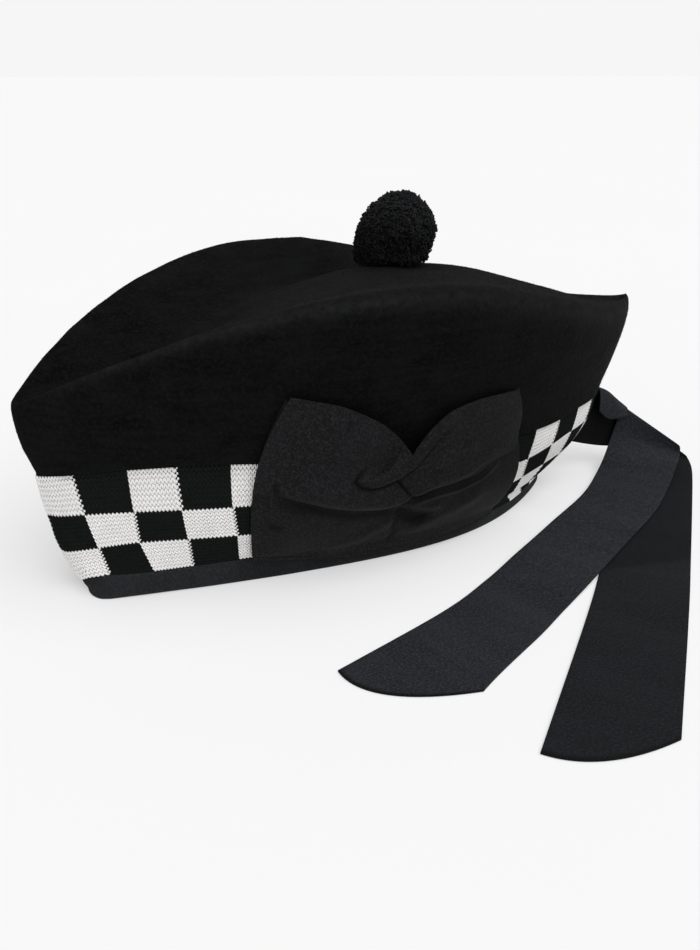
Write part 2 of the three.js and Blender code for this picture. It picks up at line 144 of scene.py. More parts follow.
ROW_TURN = (0, 7, 14, 25, 40, 60, 90, 120, 130, 140, 180)
ROW_FOOT = (0.08, 0.115, 0.182, 0.215, 0.215, 0.215, 0.2, 0.13, 0.115, 0.12, 0.12)
ROW_FAR_FOOT = (0.08, 0.115, 0.182, 0.215, 0.215, 0.215, 0.215, 0.215, 0.21, 0.195, 0.12)
ROW_FIRST = (0.35, 0.36, 0.385, 0.42, 0.46, 0.455, 0.44, 0.4, 0.45, 0.47, 0.46)
ROW_SECOND = (0.655, 0.66, 0.665, 0.69, 0.71, 0.705, 0.68, 0.62, 0.66, 0.71, 0.71)
ROW_TOP = (0.985, 0.985, 0.995, 1.025, 1.06, 1.05, 0.93, 0.91, 0.925, 0.97, 0.98)
WIDTH_LEVEL = (0.2, 0.45, 0.7, 1.0)
CELL_LOW, CELL_RISE, EVEN_CELLS = 19.06, 1.11, 12
STATIONS_PER_CELL, ARC_STEPS = 10, 1200

# Heights of the band's net, in rows of chequers: BAND_ROWS of them up to TUCK_FROM, then those of its
# hem, which is tucked in under the felt by TOP_TUCK over the height TUCK_SPAN.

BAND_ROWS, TUCK_FROM, HEM_HEIGHTS = 25, 2.8, (2.9, 3.0, 3.2)
TOP_TUCK, TUCK_SPAN = 1.3, 0.2

# Shift of the chequers' upright edges, in millimetres away from the front, by count from the front.

SHIFT_CELL = (0, 1, 2, 3, 4, 6, 10, 12, 14, 16)
SHIFT_FOOT = (0, 4.8, 4.0, 0.9, 1.4, 0, -0.5, -1.3, -1.5, 0)
SHIFT_FIRST = (0, 2.5, 1.0, 1.5, 2.5, 0, -0.5, -1.3, -1.5, 0)
SHIFT_SECOND = (0, 0, 1.0, 0.8, 1.8, 0, -0.5, -1.3, -1.5, 0)
SHIFT_TOP = (0, -3.0, 0.3, -0.6, 1.5, 0, -0.5, -1.3, -1.5, 0)

# Stitches: how far they stand out and how deep they are, and their strands as shares of a stitch. The
# last stitch of each course of a white chequer is shifted and widened over the black one, as a tooth.

STITCH_PROUD, STITCH_DEPTH = 0.12, 1.3
STRANDS = {"Strand Width": 0.6, "Strand Length": 1.5, "Strand Depth": 0.7, "Lean": 0.42, "Spread": 0.25}
TOOTH_SHIFT, TOOTH_WIDTH = 0.28, 1.45

# Bulge of the band over the binding at the front, by level. The front begins where the cosine of the
# turn is NOSE_FROM, and is full NOSE_SPAN past it.

NOSE_FROM, NOSE_SPAN = 0.93, 0.06
NOSE_LEVEL = (0.05, 0.075, 0.095, 0.13, 0.2, 0.3, 0.45, 0.6, 1.0)
NOSE_OUT = (-2.4, -1.6, 0.3, 1.6, 2.4, 1.2, 0, -1.0, -0.6)

# Section of the binding, level and distance out, from the inside of its top edge down under the rim and
# up the outside. RIM_LENGTH counts its ribs, which are evened out at RIM_LEVEL.

BINDING_PROFILE = (
    (0.214, -1.1), (0.213, -1.8), (0.2, -2.1), (0.13, -2.2), (0.05, -2.2), (0.012, -1.9), (0.0, -1.2),
    (0.0, -0.4), (0.012, 0.35), (0.035, 0.75), (0.07, 0.9), (0.12, 0.95), (0.17, 0.95), (0.2, 0.85),
    (0.213, 0.6), (0.214, 0.1),
)
RIM_LENGTH, RIM_LEVEL, RIM_STEPS, BAND_HEIGHT = 565, 0.1, 4000, 55
RIB_HEIGHT, RIBS_FROM, RIBS_TO = 0.07, 0.02, 0.213

# Waves of the binding: height, width and seed, full from SWAY_HEIGHT above the rim.

BINDING_WAVES, SWAY_HEIGHT = ((0.25, 26, 5),), 4

# The binding at the back is drawn in by BACK_TUCK from the level BACK_FOOT up. The back begins where
# the cosine of the turn, counted from the back, is BACK_FROM, and is full BACK_SPAN past it.

BACK_TUCK, BACK_FOOT, BACK_FROM, BACK_SPAN = 1.1, 0.05, 0.4, 0.2

# The binding at the front, by level: it is drawn in, most at its top under the band.

FRONT_LEVEL = (0, 0.05, 0.1, 0.15, 0.214)
FRONT_OUT = (-1.2, -2.6, -3.4, -4.0, -4.5)

# Push of the binding's foot, out from the cap and fading towards its top, by turn from the front.

PUSH_TURN = (0, 6, 9, 12, 17, 21, 25, 30, 38, 45, 52, 70)
PUSH_OUT = (0, 0, 1.0, 1.8, 2.0, 0.7, -0.5, -1.4, -1.8, -1.6, -1.0, 0)
PUSH_TOP = 0.2

# Shade of the binding under the cockade, by turn from the front on the left side.

LEE_TURN = (56, 64, 108, 120)
LEE_SHADE = (0, 0.43, 0.43, 0)

# Cockade, a row for each section across its ribbon. turn is the place round the cap in degrees from
# the front and level the place up its side, for the section's lower and upper end. bow bends the
# section round the cap, and the lifts are distances from the side of the cap.

SECTION = ("low_turn", "low", "high_turn", "high", "bow", "lift_low", "lift_mid", "lift_high")
COCKADE_UNDER = (
    (62.8, 0.19, 66.6, 1.46, -2.6, 2.4, 2.8, 2.6),
    (71, 0.14, 72, 1.16, -1, 2.6, 3.2, 2.8),
    (80, 0.095, 79, 0.98, 0, 2.6, 3.6, 2.8),
    (89, 0.07, 88, 0.88, 0, 2.8, 3, 2.8),
    (98, 0.06, 95, 0.98, 0, 2.6, 3.6, 2.8),
    (107, 0.05, 102, 1.14, 1, 2.6, 3.2, 2.8),
    (122.2, 0.1, 108.8, 1.36, 0.7, 2.4, 2.8, 2.6),
)
COCKADE_LEFT = (
    (62.2, 0.79, 67.2, 1.475, -1.2, 3.5, 4.6, 4.0),
    (66.4, 0.77, 70.2, 1.44, -0.6, 4.8, 6.6, 4.6),
    (70.8, 0.71, 74.6, 1.39, 0, 8.0, 8.6, 5.2),
    (76.8, 0.625, 78.8, 1.315, 0, 9.2, 9.2, 5.8),
    (82.6, 0.575, 82.6, 1.23, 0, 9.6, 9.0, 6.4),
    (87, 0.575, 86.2, 1.11, 0, 9.2, 8.4, 7.4),
    (91.2, 0.62, 89.4, 0.96, -1.2, 7.6, 7.8, 7.8),
)
COCKADE_RIGHT = (
    (90.4, 0.62, 87.8, 0.99, -2.2, 8.0, 8.2, 8.0),
    (92.6, 0.62, 88.8, 1.08, -1.2, 8.6, 8.6, 7.2),
    (95.6, 0.64, 90.8, 1.17, 0, 9.0, 9.2, 6.4),
    (99.8, 0.655, 94.2, 1.265, 0, 9.0, 9.4, 5.8),
    (104.2, 0.685, 98.6, 1.315, 0, 8.0, 8.6, 5.2),
    (109, 0.765, 103.2, 1.335, 0.8, 5.4, 6.8, 4.6),
    (113.6, 0.8, 108.2, 1.35, 1.6, 3.6, 4.6, 4.2),
)

# Stations along a cockade sheet and across it, and its least distance from the cap. The side of the cap
# laid flat: turn at its middle, and millimetres to a degree, to the band's level and to the crown's.

SHEET_STEPS, SHEET_LAYERS, LEAST_LIFT = 130, 96, 1.6
FLAT_MIDDLE, FLAT_TURN, FLAT_BAND, FLAT_CROWN = 88, 2.55, 56, 75

# Roll of the cockade over its knot, along the eyelid, in millimetres on the side laid flat: its height
# and steepness, its groove, and the lines past which it fades to the left and, left of the split, to the
# top. ROLL_ENDS are the shares of its length over which its ends fade.

ROLL_HEIGHT, ROLL_STEEP, GROOVE_DEPTH, GROOVE_WIDTH = 3.2, 1.1, 1.5, 1.5
ROLL_LEFT, LEFT_FADE, ROLL_TOP, TOP_FADE, ROLL_SPLIT, SPLIT_FADE = -6, 13, 50, 8, 2, 6
ROLL_ENDS = (0.14, 0.3)

# Folds of the cockade, each a line of (turn, level) places.

EYELID = (
    (81.4, 1.0), (79.6, 0.94), (78.6, 0.87), (79.6, 0.825), (81.4, 0.8), (83.2, 0.805), (85.2, 0.83),
    (87, 0.848), (89.2, 0.91), (90.8, 0.98), (92.4, 1.07), (93.6, 1.13), (95.4, 1.18),
)
CROSSING = ((86.0, 0.825), (86.6, 0.8), (88.6, 0.7), (91, 0.62))
LEFT_PUFF = ((83, 1.04), (78, 1.14), (72, 1.26))
LEFT_BELLY = ((88, 0.68), (80, 0.7), (71, 0.82))
LEFT_HEM = ((66, 0.76), (71.6, 0.665), (76.8, 0.575), (80.6, 0.53), (85.6, 0.51), (90, 0.53))
HEM_END = ((66, 0.75), (69, 0.69), (72.4, 0.62))
RIGHT_HOLLOW = ((91.6, 0.63), (96.2, 0.695), (100.8, 0.715), (103.2, 0.755), (107.8, 0.81))
RIGHT_PUFF = ((93, 0.84), (97, 0.92), (102, 1.02))
RIGHT_FOLD = ((96, 0.8), (101, 0.87), (107, 0.96))
RIGHT_HEM = ((90.4, 0.57), (94.8, 0.585), (99.8, 0.6), (104.2, 0.635), (109, 0.725))
UNDER_LIP = ((90.6, 0.575), (93.4, 0.58), (96.4, 0.595), (101.2, 0.605), (105.4, 0.65), (109, 0.72))
UNDER_POCKET = ((88.4, 0.505), (90.6, 0.475), (92.8, 0.42), (95.4, 0.375), (98.2, 0.375))
POCKET_LIP = ((90.6, 0.55), (93.2, 0.515), (96, 0.485), (98.6, 0.46))
UNDER_PINCH = ((89.8, 0.46), (90, 0.385), (91.4, 0.28), (92.8, 0.17))
UNDER_LEFT_FOLD = ((89.4, 0.44), (86.8, 0.365), (83.4, 0.28), (78, 0.22))
UNDER_RIGHT_FOLD = ((94, 0.3), (100, 0.34), (110, 0.48))

# Ridges and hollows of each layer along its folds: line, height and width. They fade to FOLD_END at
# their ends, over the share FOLD_FADE of their length.

FOLD_END, FOLD_FADE = 0.35, 0.15
CROSSING_FOLD = (CROSSING, -1.6, 1.0)
UNDER_FOLDS = (
    (UNDER_LIP, 2.6, 2.2), (POCKET_LIP, 1.4, 1.9), (UNDER_POCKET, -2.6, 2.6), (UNDER_PINCH, -1.3, 1.6),
    (UNDER_LEFT_FOLD, 1.3, 4), (UNDER_RIGHT_FOLD, 1.4, 5),
)
LEFT_FOLDS = ((LEFT_PUFF, 1.2, 9), (LEFT_BELLY, 1.1, 6))
RIGHT_FOLDS = ((RIGHT_HOLLOW, -1.6, 2.4), (RIGHT_FOLD, -0.7, 3.4), (RIGHT_PUFF, 0.8, 5))

# Painted shade along the creases of the cockade, in its pocket and under the edges of its loops, and the
# dark tack stitches where it is tacked down: line, depth of shade and width. The under layer is a little
# darker all over, and the loops are painted darker on their turned hems, as shade. Shades fade at the ends
# of their lines over the share SHADE_FADE.

SHADE_FADE = 0.12
LOOP_SHADES = (
    (EYELID, 0.8, 1.0), (CROSSING, 0.85, 0.8), (RIGHT_HOLLOW, 0.6, 2.2),
    (((76.4, 1.23), (76.4, 1.3)), 0.7, 0.8), (((66, 0.8), (65.8, 0.92)), 0.85, 1.5),
    (((105.4, 1.09), (107.8, 1.11)), 0.6, 1.0),
)
UNDER_SHADE, HEM_SHARE, HEM_SHADE = 0.14, 0.09, 0.8
UNDER_SHADES = (
    (LEFT_HEM, 0.85, 2.2), (HEM_END, 0.5, 3.4), (RIGHT_HEM, 0.8, 1.5), (UNDER_POCKET, 1, 3.8),
    (UNDER_PINCH, 0.4, 1.4), (((64.8, 0.535), (67.8, 0.5)), 0.8, 1.6),
)

# Lower edge of a loop: the share of the section that turns in, the places along the sheet where its
# depth is given, and how far it climbs in level once it has turned past EDGE_PAST, in radians.

EDGE_SHARE, EDGE_PLACES, EDGE_CLIMB, EDGE_PAST = 0.13, (0, 0.3, 0.7, 1), 0.018, 1.0

# Ribbon: spacing of its ribs and rounding of its cut edges in metres, and slant of the ribs. Waves of
# the cockade, each with its height, its width and its seed.

RIBBON_PITCH, CUT_EDGE, RIBBON_SLANT = 0.0011, 0.0002, 0.6
RIBBON_WAVES = ((0.16, 9, 4), (0.3, 22, 7))

# Ribbon root behind the cap, rows from the band backwards, and the fold of its upper edge.

TIE = ("x", "low_x", "low", "high", "flap")
BACK_TIE = (
    (151, 137.6, 18.5, 48.6, 35.5),
    (158.5, 150, 14.5, 45, 30),
    (166, 161, 11.5, 39.2, 29.3),
    (174, 171, 9.5, 33.2, 29.6),
)
TIE_BACK, TIE_TOP, TIE_FRONT, TIE_FLAP, TIE_DROP = -2.5, -4.8, -7.2, -8.6, 2.4

# Net of the root: steps along it, places of its section's corners and stretches of points across it, each
# with its first and last place and its count. TIE_CLOTH is the cloth's size for its UV, in metres, and
# the side up to TIE_SHADED is painted dark, as the shadow under the crown.

TIE_STEPS, TIE_CORNERS, TIE_SHADED, TIE_CLOTH = 40, (0, 1, 2, 2.5, 3, 4), 2.3, (0.03, 0.05)
TIE_STRETCHES = ((0, 1.9, 16), (2, 3, 13), (3.1, 4, 8))

# Tails from the ribbon root to the cut end: middle of the ribbon, direction of its width seen from
# above and its slope in degrees, and its width. The first row lies behind the fold at the top.

TAIL_STEPS, TAIL_LAYERS = 260, 25
TAIL = ("x", "y", "z", "across", "bank", "width")
TAIL_OVER = (
    (181, -11.5, 12, -46, -20, 34),
    (182.1, -17.1, 24.4, -46, -31, 37.6),
    (180.2, -17.4, 14, -40, -15, 39),
    (172.2, -22.1, 6.4, -44, -1, 39),
    (156.6, -33.2, 2.8, -54.5, 0, 38.6),
    (131, -50.5, 1.95, -61, 0, 37.8),
    (97.4, -67.9, 1.95, -62.5, 0, 37.8),
    (63, -85.6, 1.95, -63, 0, 37.8),
    (34.8, -98.9, 0.65, -64.5, 0, 37.8),
    (4.4, -112.6, 0.5, -68, 0, 39.6),
    (-51, -131.6, 0.5, -73, 0, 45.6),
)
TAIL_UNDER = (
    (186.5, -9.5, 7, -46, -20, 34),
    (188, -15.6, 18.4, -46, -33, 39),
    (187.5, -18, 8, -43, -12, 39),
    (180.5, -26.8, 1.7, -45.5, 0, 38.8),
    (157, -49.5, 0.62, -46.7, 0, 38.8),
    (107.4, -96, 0.5, -47.4, 0, 38.8),
    (69.6, -130.9, 0.5, -49, 0, 39),
    (-4, -194.4, 0.5, -49.5, 0, 42.6),
)

# Waves of the tails: height, width and seed, and their lift. They are full TAIL_FREE above TAIL_LOW, and
# down to the share TAIL_CALM where the ribbon lies flat.

TAIL_WAVES, TAIL_LIFT = ((0.5, 30, 6),), 0.5
TAIL_LOW, TAIL_FREE, TAIL_CALM = 0.45, 1.2, 0.25

# Slant and rounding of each tail's cut end, and its shades: the length from the root that is painted
# darker, as shadow, how much that length grows across the ribbon, and how dark the shadowed part and the
# rest are. The change takes the width set just below on either side.

SHADOW_EDGE = 1.5
OVER_CUT, OVER_TAIL_SHADES = (14.8, 11.5), (0, 0, 0, 0)
UNDER_CUT, UNDER_TAIL_SHADES = (12.4, 7.3), (149.7, -0.665, 0.76, 0.52)

# Toorie: head of the ball, and the locks that stand out of it by LOCK_SHARE. FOOT_POWER keeps its foot
# nearly as wide as its middle down to FOOT_END, a share of the radius, and it leans from LEAN_FROM below
# the middle upwards.

TOORIE_X, TOORIE_Z, TOORIE_RADIUS = 25.2, 140.6, 18.6
TOORIE_HEAD, TOORIE_STRETCH, TOORIE_LEAN = 15.2, 0.93, 0.22
TOORIE_INSET, FOOT_POWER, FOOT_END, LEAN_FROM = 1.5, 8, 0.88, -9
LOCKS, LOCK_RADIUS, LOCK_PLACE, LOCK_SHARE = 40, 6.3, 12.8, 0.35

# Dents of the toorie: direction from its middle, depth, and width as a share of its radius.

TOORIE_DENTS = (
    ((0.65, -0.33, 0.68), 2.4, 0.5),
    ((0.72, -0.15, -0.68), 2.4, 0.4),
    ((-0.35, -0.7, -0.62), 4.0, 0.6),
)

# The toorie's yarn is painted dark low at the front, as shade: heights in metres, and their slope to the
# back.
# CORE_SHADE is the share of its colour that the ball under the curls has, painted darker as the shade between
# them, and ABOVE_CAP a height over the cap in metres.

TOORIE_SHADE_RISE, TOORIE_SHADE_SLOPE = (0.126, 0.164), 0.5
CORE_SHADE, ABOVE_CAP = 0.3, 0.2

# Curls of yarn: turns, end radius and height as shares of the radius, tilt in radians, least and most
# size as a share, and seed. None stands where the surface faces down past CURL_DOWN.

CURL_TURNS, CURL_TAPER, CURL_RISE, CURL_TILT = 1.1, 0.55, 1.5, 1.1
CURL_SPREAD, CURL_SEED, CURL_DOWN = (0.7, 1.25), 5, -0.75

# Shift of the noise for each seed

NOISE_SHIFT = (13.7, 7.1, 3.3)

# Camera fitted to the photograph

CAMERA_PLACE = (-185.4, -362.2, 205.3)
CAMERA_TARGET = (1.42, 0, 24.53)
CAMERA_LENS, CAMERA_SENSOR = 34.34, 36

# Studio: the floor, and the lights with the direction that they come from, their power and their spread
# in degrees. The floor is a light table with a glow of its own, and the background is seen brighter
# than the light that it gives.

FLOOR_LEVEL, FLOOR_HALF, FLOOR_GLOW = -0.05, 60000, 0.42
LIGHTS = (
    ("key_light", (0.15, -0.4, 1), 2.25, 70),
    ("front_light", (-0.45, -1, 0.5), 0.8, 90),
)
WORLD_LIGHT, WORLD_SEEN = 0.33, 0.92


def length_of(name, description, default, least, most, precision=4):
    """Size in metres that a user can change."""
    return bpy.props.FloatProperty(
        name=name, description=description, default=default, min=least, max=most,
        precision=precision, unit="LENGTH")


def density_of(name, description, default, most):
    """Count on a square metre that a user can change."""
    return bpy.props.FloatProperty(name=name, description=description, default=default, min=0, max=most)


def count_of(name, description, default, least, most):
    """Whole number that a user can change."""
    return bpy.props.IntProperty(name=name, description=description, default=default, min=least, max=most)


def colour_of(name, description, default):
    """Colour in linear light that a user can change."""
    return bpy.props.FloatVectorProperty(
        name=name, description=description, default=default, subtype="COLOR", size=3, min=0, max=1)


class GlengarrySizes(bpy.types.PropertyGroup):
    """Sizes of the cloth, the knit and the yarn."""

    felt: length_of("Felt", "Thickness of the crown's felt", 0.0022, 0.001, 0.004)
    nap_length: length_of("Nap length", "Length of the loose fibres on the felt", 0.0011, 0.0003, 0.004)
    nap_density: density_of("Nap density", "Loose fibres on a square metre of felt", 420000, 600000)
    knit: length_of("Knit", "Thickness of the dicing band", 0.0018, 0.001, 0.004)
    cells: count_of("Chequers", "Chequers round the band", 32, 8, 64)
    wales: count_of("Wales", "Columns of stitches in a chequer", 12, 4, 16)
    courses: count_of("Courses", "Rows of stitches in a chequer", 8, 4, 12)
    ribbon: length_of("Ribbon", "Thickness of the cockade and the tails", 0.0007, 0.0003, 0.0015)
    rib: length_of("Rib", "Spacing of the ribs woven into the binding", 0.001, 0.0005, 0.003)
    curl: length_of("Curl", "Radius of a curl of yarn on the toorie", 0.0009, 0.0003, 0.003, 5)
    yarn: length_of("Yarn", "Radius of the toorie's yarn", 0.0004, 0.0001, 0.001, 5)
    curl_density: density_of("Curl density", "Curls on a square metre of the toorie", 620000, 2000000)


class GlengarryColours(bpy.types.PropertyGroup):
    """Colours of the cloth and the stage, in linear light."""

    felt: colour_of("Felt", "Black wool felt", (0.0031, 0.0032, 0.0033))
    # Lighter felt of the rubbed ridges and back tip, and of the highlight and light painted on the crown.
    worn_and_highlight_felt: colour_of("Worn felt", "Felt rubbed along the ridges", (0.015, 0.0153, 0.016))
    white_wool: colour_of("White wool", "White chequers", (0.87, 0.86, 0.85))
    black_wool: colour_of("Black wool", "Black chequers", (0.0085, 0.0095, 0.0096))
    ribbon: colour_of("Ribbon", "Cockade", (0.007, 0.0071, 0.0079))
    tails: colour_of("Tails", "Tie and tails", (0.018, 0.0198, 0.0232))
    binding: colour_of("Binding", "Ribbon round the rim", (0.0168, 0.0179, 0.0204))
    yarn: colour_of("Yarn", "Wool yarn of the toorie", (0.0205, 0.0214, 0.0226))
    floor: colour_of("Floor", "Pale floor of the stage", (0.48, 0.48, 0.48))


def sizes():
    return bpy.context.scene.glengarry_sizes


def colours():
    return bpy.context.scene.glengarry_colours


# Curves and the side of the cap

def through(keys, values, at):
    """Values of a smooth curve through the rows of a table, at places along its keys."""
    keys = np.asarray(keys, float)
    values = np.asarray(values, float)
    at = np.clip(np.asarray(at, float), keys[0], keys[-1])
    slopes = np.empty_like(values)
    slopes[1:-1] = (values[2:] - values[:-2]) / (keys[2:] - keys[:-2])
    slopes[0] = (values[1] - values[0]) / (keys[1] - keys[0])
    slopes[-1] = (values[-1] - values[-2]) / (keys[-1] - keys[-2])
    row = np.clip(np.searchsorted(keys, at, side="left") - 1, 0, len(keys) - 2)
    span = keys[row + 1] - keys[row]
    u = (at - keys[row]) / span
    start = values[row] * (1 + 2 * u) * (1 - u) ** 2 + slopes[row] * span * u * (1 - u) ** 2
    end = values[row + 1] * (3 - 2 * u) * u * u - slopes[row + 1] * span * u * u * (1 - u)
    return start + end


def columns_at(names, rows, order):
    """Each column of a table as a curve through its rows, read at places counted in rows."""
    keys = np.arange(len(rows))
    return {name: through(keys, [row[i] for row in rows], order) for i, name in enumerate(names)}


def loop_point(loop, turn):
    """Points of a level loop. Turn 0 is the front, and a quarter turn is the wearer's left."""
    c = np.cos(turn)
    s = np.sin(turn)
    softened = (s * s + loop["round"] ** 2) / (1 + loop["round"] ** 2)
    half_width = loop["half_width"] * (1 - loop["swell"] * c)
    y = -half_width * s * softened ** ((loop["power"] + loop["shift"] * c - 1) / 2)
    waves = loop["nod"] * c - loop["bow"] * np.cos(2 * turn) + loop["ripple"] * np.cos(3 * turn)
    back = np.maximum(0, -c)
    tip = np.maximum(0, (back - TIP_FROM) / (1 - TIP_FROM))
    lean = np.where(s > 0, loop["near_lean"], loop["far_lean"])
    sides = (lean * s - 2 * loop["sag"] * np.abs(s)) * back
    z = loop["height"] + waves + sides + loop["kick"] * tip * tip
    return np.stack([loop["centre"] - loop["half_length"] * c, y, z], axis=-1)


def side_point(turn, level):
    """Side of the cap: level 0 at the rim, 1 at the top of the band, 2 at the ridge."""
    turn, level = np.broadcast_arrays(np.asarray(turn, float), np.asarray(level, float))
    top = loop_point(BAND_TOP, turn)
    foot = loop_point(RIM, turn)
    ridge = loop_point(RIDGE, turn)
    low = foot + (top - foot) * through(FLARE_LEVEL, FLARE_OUT, level)[..., None]
    low[..., 2] = top[..., 2] * level
    high = top + (ridge - top) * (level[..., None] - 1)
    return np.where(level[..., None] > 1, high, low)


def unit(vectors):
    return vectors / np.maximum(np.linalg.norm(vectors, axis=-1, keepdims=True), 1e-9)


def bell(distance):
    """1 at the middle, falling softly to 0 on both sides."""
    return np.exp(-(distance ** 2))


def rise(value, start, span):
    """0 up to a start, rising evenly to 1 over a span."""
    return np.clip((value - start) / span, 0, 1)


def run_along(line):
    """Length along a line of points, counted from its first point."""
    return np.concatenate([[0], np.cumsum(np.linalg.norm(np.diff(line, axis=0), axis=1))])


def row_between(rows, height):
    """Values at a height counted in rows, between the row below it and the row above."""
    step = min(max(int(height), 0), len(rows) - 2)
    return rows[step] + (rows[step + 1] - rows[step]) * (height - step)


def degrees_from_front(turn):
    """Degrees from the front of the cap, counted the same way on both its sides."""
    return np.degrees(np.arccos(np.clip(np.cos(turn), -1, 1)))


def off_side(turn, level, distance):
    """Points at a level distance from the side of the cap."""
    step = 0.01
    along = side_point(turn + step, level) - side_point(turn - step, level)
    out = np.stack([along[..., 1], -along[..., 0], np.zeros_like(along[..., 0])], axis=-1)
    return side_point(turn, level) + unit(out) * np.asarray(distance, float)[..., None]


def soft_noise(points, scale, seed):
    """Smooth noise from -1 to 1 at points in millimetres, with bumps of about the scale given."""
    shift = Vector([seed * part for part in NOISE_SHIFT])
    values = [noise.noise(Vector(p) / scale + shift) for p in points.reshape(-1, 3)]
    return np.array(values).reshape(points.shape[:-1])


def waves_at(points, waves):
    """Sum of smooth waves at points, each wave with its height, its width and its seed."""
    return sum(height * soft_noise(points, width, seed) for height, width, seed in waves)


def net_normals(net):
    """Directions that stand up from a net of points, rows by columns."""
    along = np.gradient(net, axis=0)
    across = np.gradient(net, axis=1)
    return unit(np.cross(along, across))


# Meshes and pieces

def net_mesh(name, net, uv=None, round_rows=False, round_columns=False):
    """Mesh of quads over a net of points in millimetres. Round directions are joined end to end.
    uv has one more row or column than the net where that direction is round."""
    rows, columns = net.shape[:2]
    i = np.arange(rows if round_rows else rows - 1)[:, None]
    j = np.arange(columns if round_columns else columns - 1)[None, :]
    i_next = (i + 1) % rows
    j_next = (j + 1) % columns
    corners = [(i, j), (i_next, j), (i_next, j_next), (i, j_next)]
    faces = np.stack([a * columns + b for a, b in corners], axis=-1).reshape(-1, 4)
    mesh = bpy.data.meshes.new(name)
    mesh.from_pydata((net.reshape(-1, 3) * MM).tolist(), [], faces.tolist())
    if uv is not None:
        places = [(i, j), (i + 1, j), (i + 1, j + 1), (i, j + 1)]
        values = np.stack([uv[a, b] for a, b in places], axis=2)
        layer = mesh.uv_layers.new(name="cloth")
        layer.data.foreach_set("uv", values.astype(np.float32).ravel())
    mesh.update()
    return mesh


def set_attribute(mesh, name, values, kind="FLOAT"):
    """Stores a number, or with FLOAT_VECTOR a direction, on each point of a mesh."""
    attribute = mesh.attributes.new(name, kind, "POINT")
    field = "value" if kind == "FLOAT" else "vector"
    attribute.data.foreach_set(field, np.asarray(values, np.float32).ravel())


def new_object(name, mesh):
    piece = bpy.data.objects.new(name, mesh)
    bpy.context.scene.collection.objects.link(piece)
    return piece


def plain_mesh(piece):
    """Turns a piece with modifiers into a piece with the mesh that they make."""
    depsgraph = bpy.context.evaluated_depsgraph_get()
    finished = bpy.data.meshes.new_from_object(
        piece.evaluated_get(depsgraph), preserve_all_data_layers=True, depsgraph=depsgraph)
    rough = piece.data
    piece.modifiers.clear()
    piece.data = finished
    bpy.data.meshes.remove(rough)
    if not finished.polygons:
        raise RuntimeError(f"{piece.name} has no faces")
    finished.shade_smooth()


def thicken(piece, thickness, offset, edge):
    """Gives a sheet its thickness and soft cut edges."""
    wall = piece.modifiers.new("wall", "SOLIDIFY")
    wall.thickness = thickness
    wall.offset = offset
    wall.use_even_offset = False
    soft = piece.modifiers.new("edge", "BEVEL")
    soft.width = edge
    soft.segments = 2
    soft.limit_method = "ANGLE"
    soft.angle_limit = math.radians(60)
    plain_mesh(piece)


def declare(piece, slot, *nodes):
    """Makes a piece ride on the cap and, where nodes are named, stand for them."""
    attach(piece, BODY)
    if nodes:
        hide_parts(*nodes)


def give(piece, material):
    piece.data.materials.clear()
    piece.data.materials.append(material)


# Node trees

def set_inputs(tree, node, inputs):
    """Sets a node's inputs, each to a socket to link from or to a value."""
    for key, value in inputs.items():
        if isinstance(value, bpy.types.NodeSocket):
            tree.links.new(value, node.inputs[key])
        else:
            node.inputs[key].default_value = value


def add_node(tree, kind, inputs=None, **settings):
    node = tree.nodes.new(kind)
    for key, value in settings.items():
        setattr(node, key, value)
    set_inputs(tree, node, inputs or {})
    return node


def output_of(tree, kind, inputs=None, output=0, **settings):
    """Adds a node and gives one of its outputs."""
    return add_node(tree, kind, inputs, **settings).outputs[output]


def start_geometry(name, inputs):
    """Geometry Nodes tree with named inputs, and the node that gives them."""
    tree = bpy.data.node_groups.new(name, "GeometryNodeTree")
    tree.interface.new_socket("Geometry", in_out="INPUT", socket_type="NodeSocketGeometry")
    for label, kind in inputs:
        tree.interface.new_socket(label, in_out="INPUT", socket_type=f"NodeSocket{kind}")
    tree.interface.new_socket("Geometry", in_out="OUTPUT", socket_type="NodeSocketGeometry")
    return tree, tree.nodes.new("NodeGroupInput").outputs


def end_geometry(tree, points, instance, rotation, scale, material):
    """Ends a tree: an instance on every point, made real, given its material and sent out."""
    instances = output_of(tree, "GeometryNodeInstanceOnPoints", {
        "Points": points, "Instance": instance, "Rotation": rotation, "Scale": scale,
    })
    real = output_of(tree, "GeometryNodeRealizeInstances", {"Geometry": instances})
    dressed = output_of(tree, "GeometryNodeSetMaterial", {"Geometry": real, "Material": material})
    add_node(tree, "NodeGroupOutput", {"Geometry": dressed})


def combined(tree, **axes):
    return output_of(tree, "ShaderNodeCombineXYZ", axes)


def random_size(tree, least, most):
    return output_of(tree, "FunctionNodeRandomValue", {2: least, 3: most}, 1, data_type="FLOAT")


def random_angles(tree, least, most):
    return output_of(tree, "FunctionNodeRandomValue", {0: least, 1: most}, data_type="FLOAT_VECTOR")


def turned(tree, rotation, angles):
    """A rotation turned by angles about its own axes."""
    turn = output_of(tree, "FunctionNodeEulerToRotation", {0: angles})
    return output_of(
        tree, "FunctionNodeRotateRotation", {"Rotation": rotation, "Rotate By": turn}, rotation_space="LOCAL")


def grow(name, mesh, tree, values):
    """Piece that a Geometry Nodes tree makes from a mesh, as a plain mesh."""
    piece = new_object(name, mesh)
    modifier = piece.modifiers.new("grow", "NODES")
    modifier.node_group = tree
    for item in tree.interface.items_tree:
        if item.in_out == "INPUT" and item.name in values:
            modifier[item.identifier] = values[item.name]
    plain_mesh(piece)
    return piece


def start_material(name):
    """Material with one cloth shader, its tree and that shader."""
    material = bpy.data.materials.new(name)
    material.use_nodes = True
    tree = material.node_tree
    tree.nodes.clear()
    shader = tree.nodes.new("ShaderNodeBsdfPrincipled")
    add_node(tree, "ShaderNodeOutputMaterial", {"Surface": shader.outputs[0]})
    return material, tree, shader


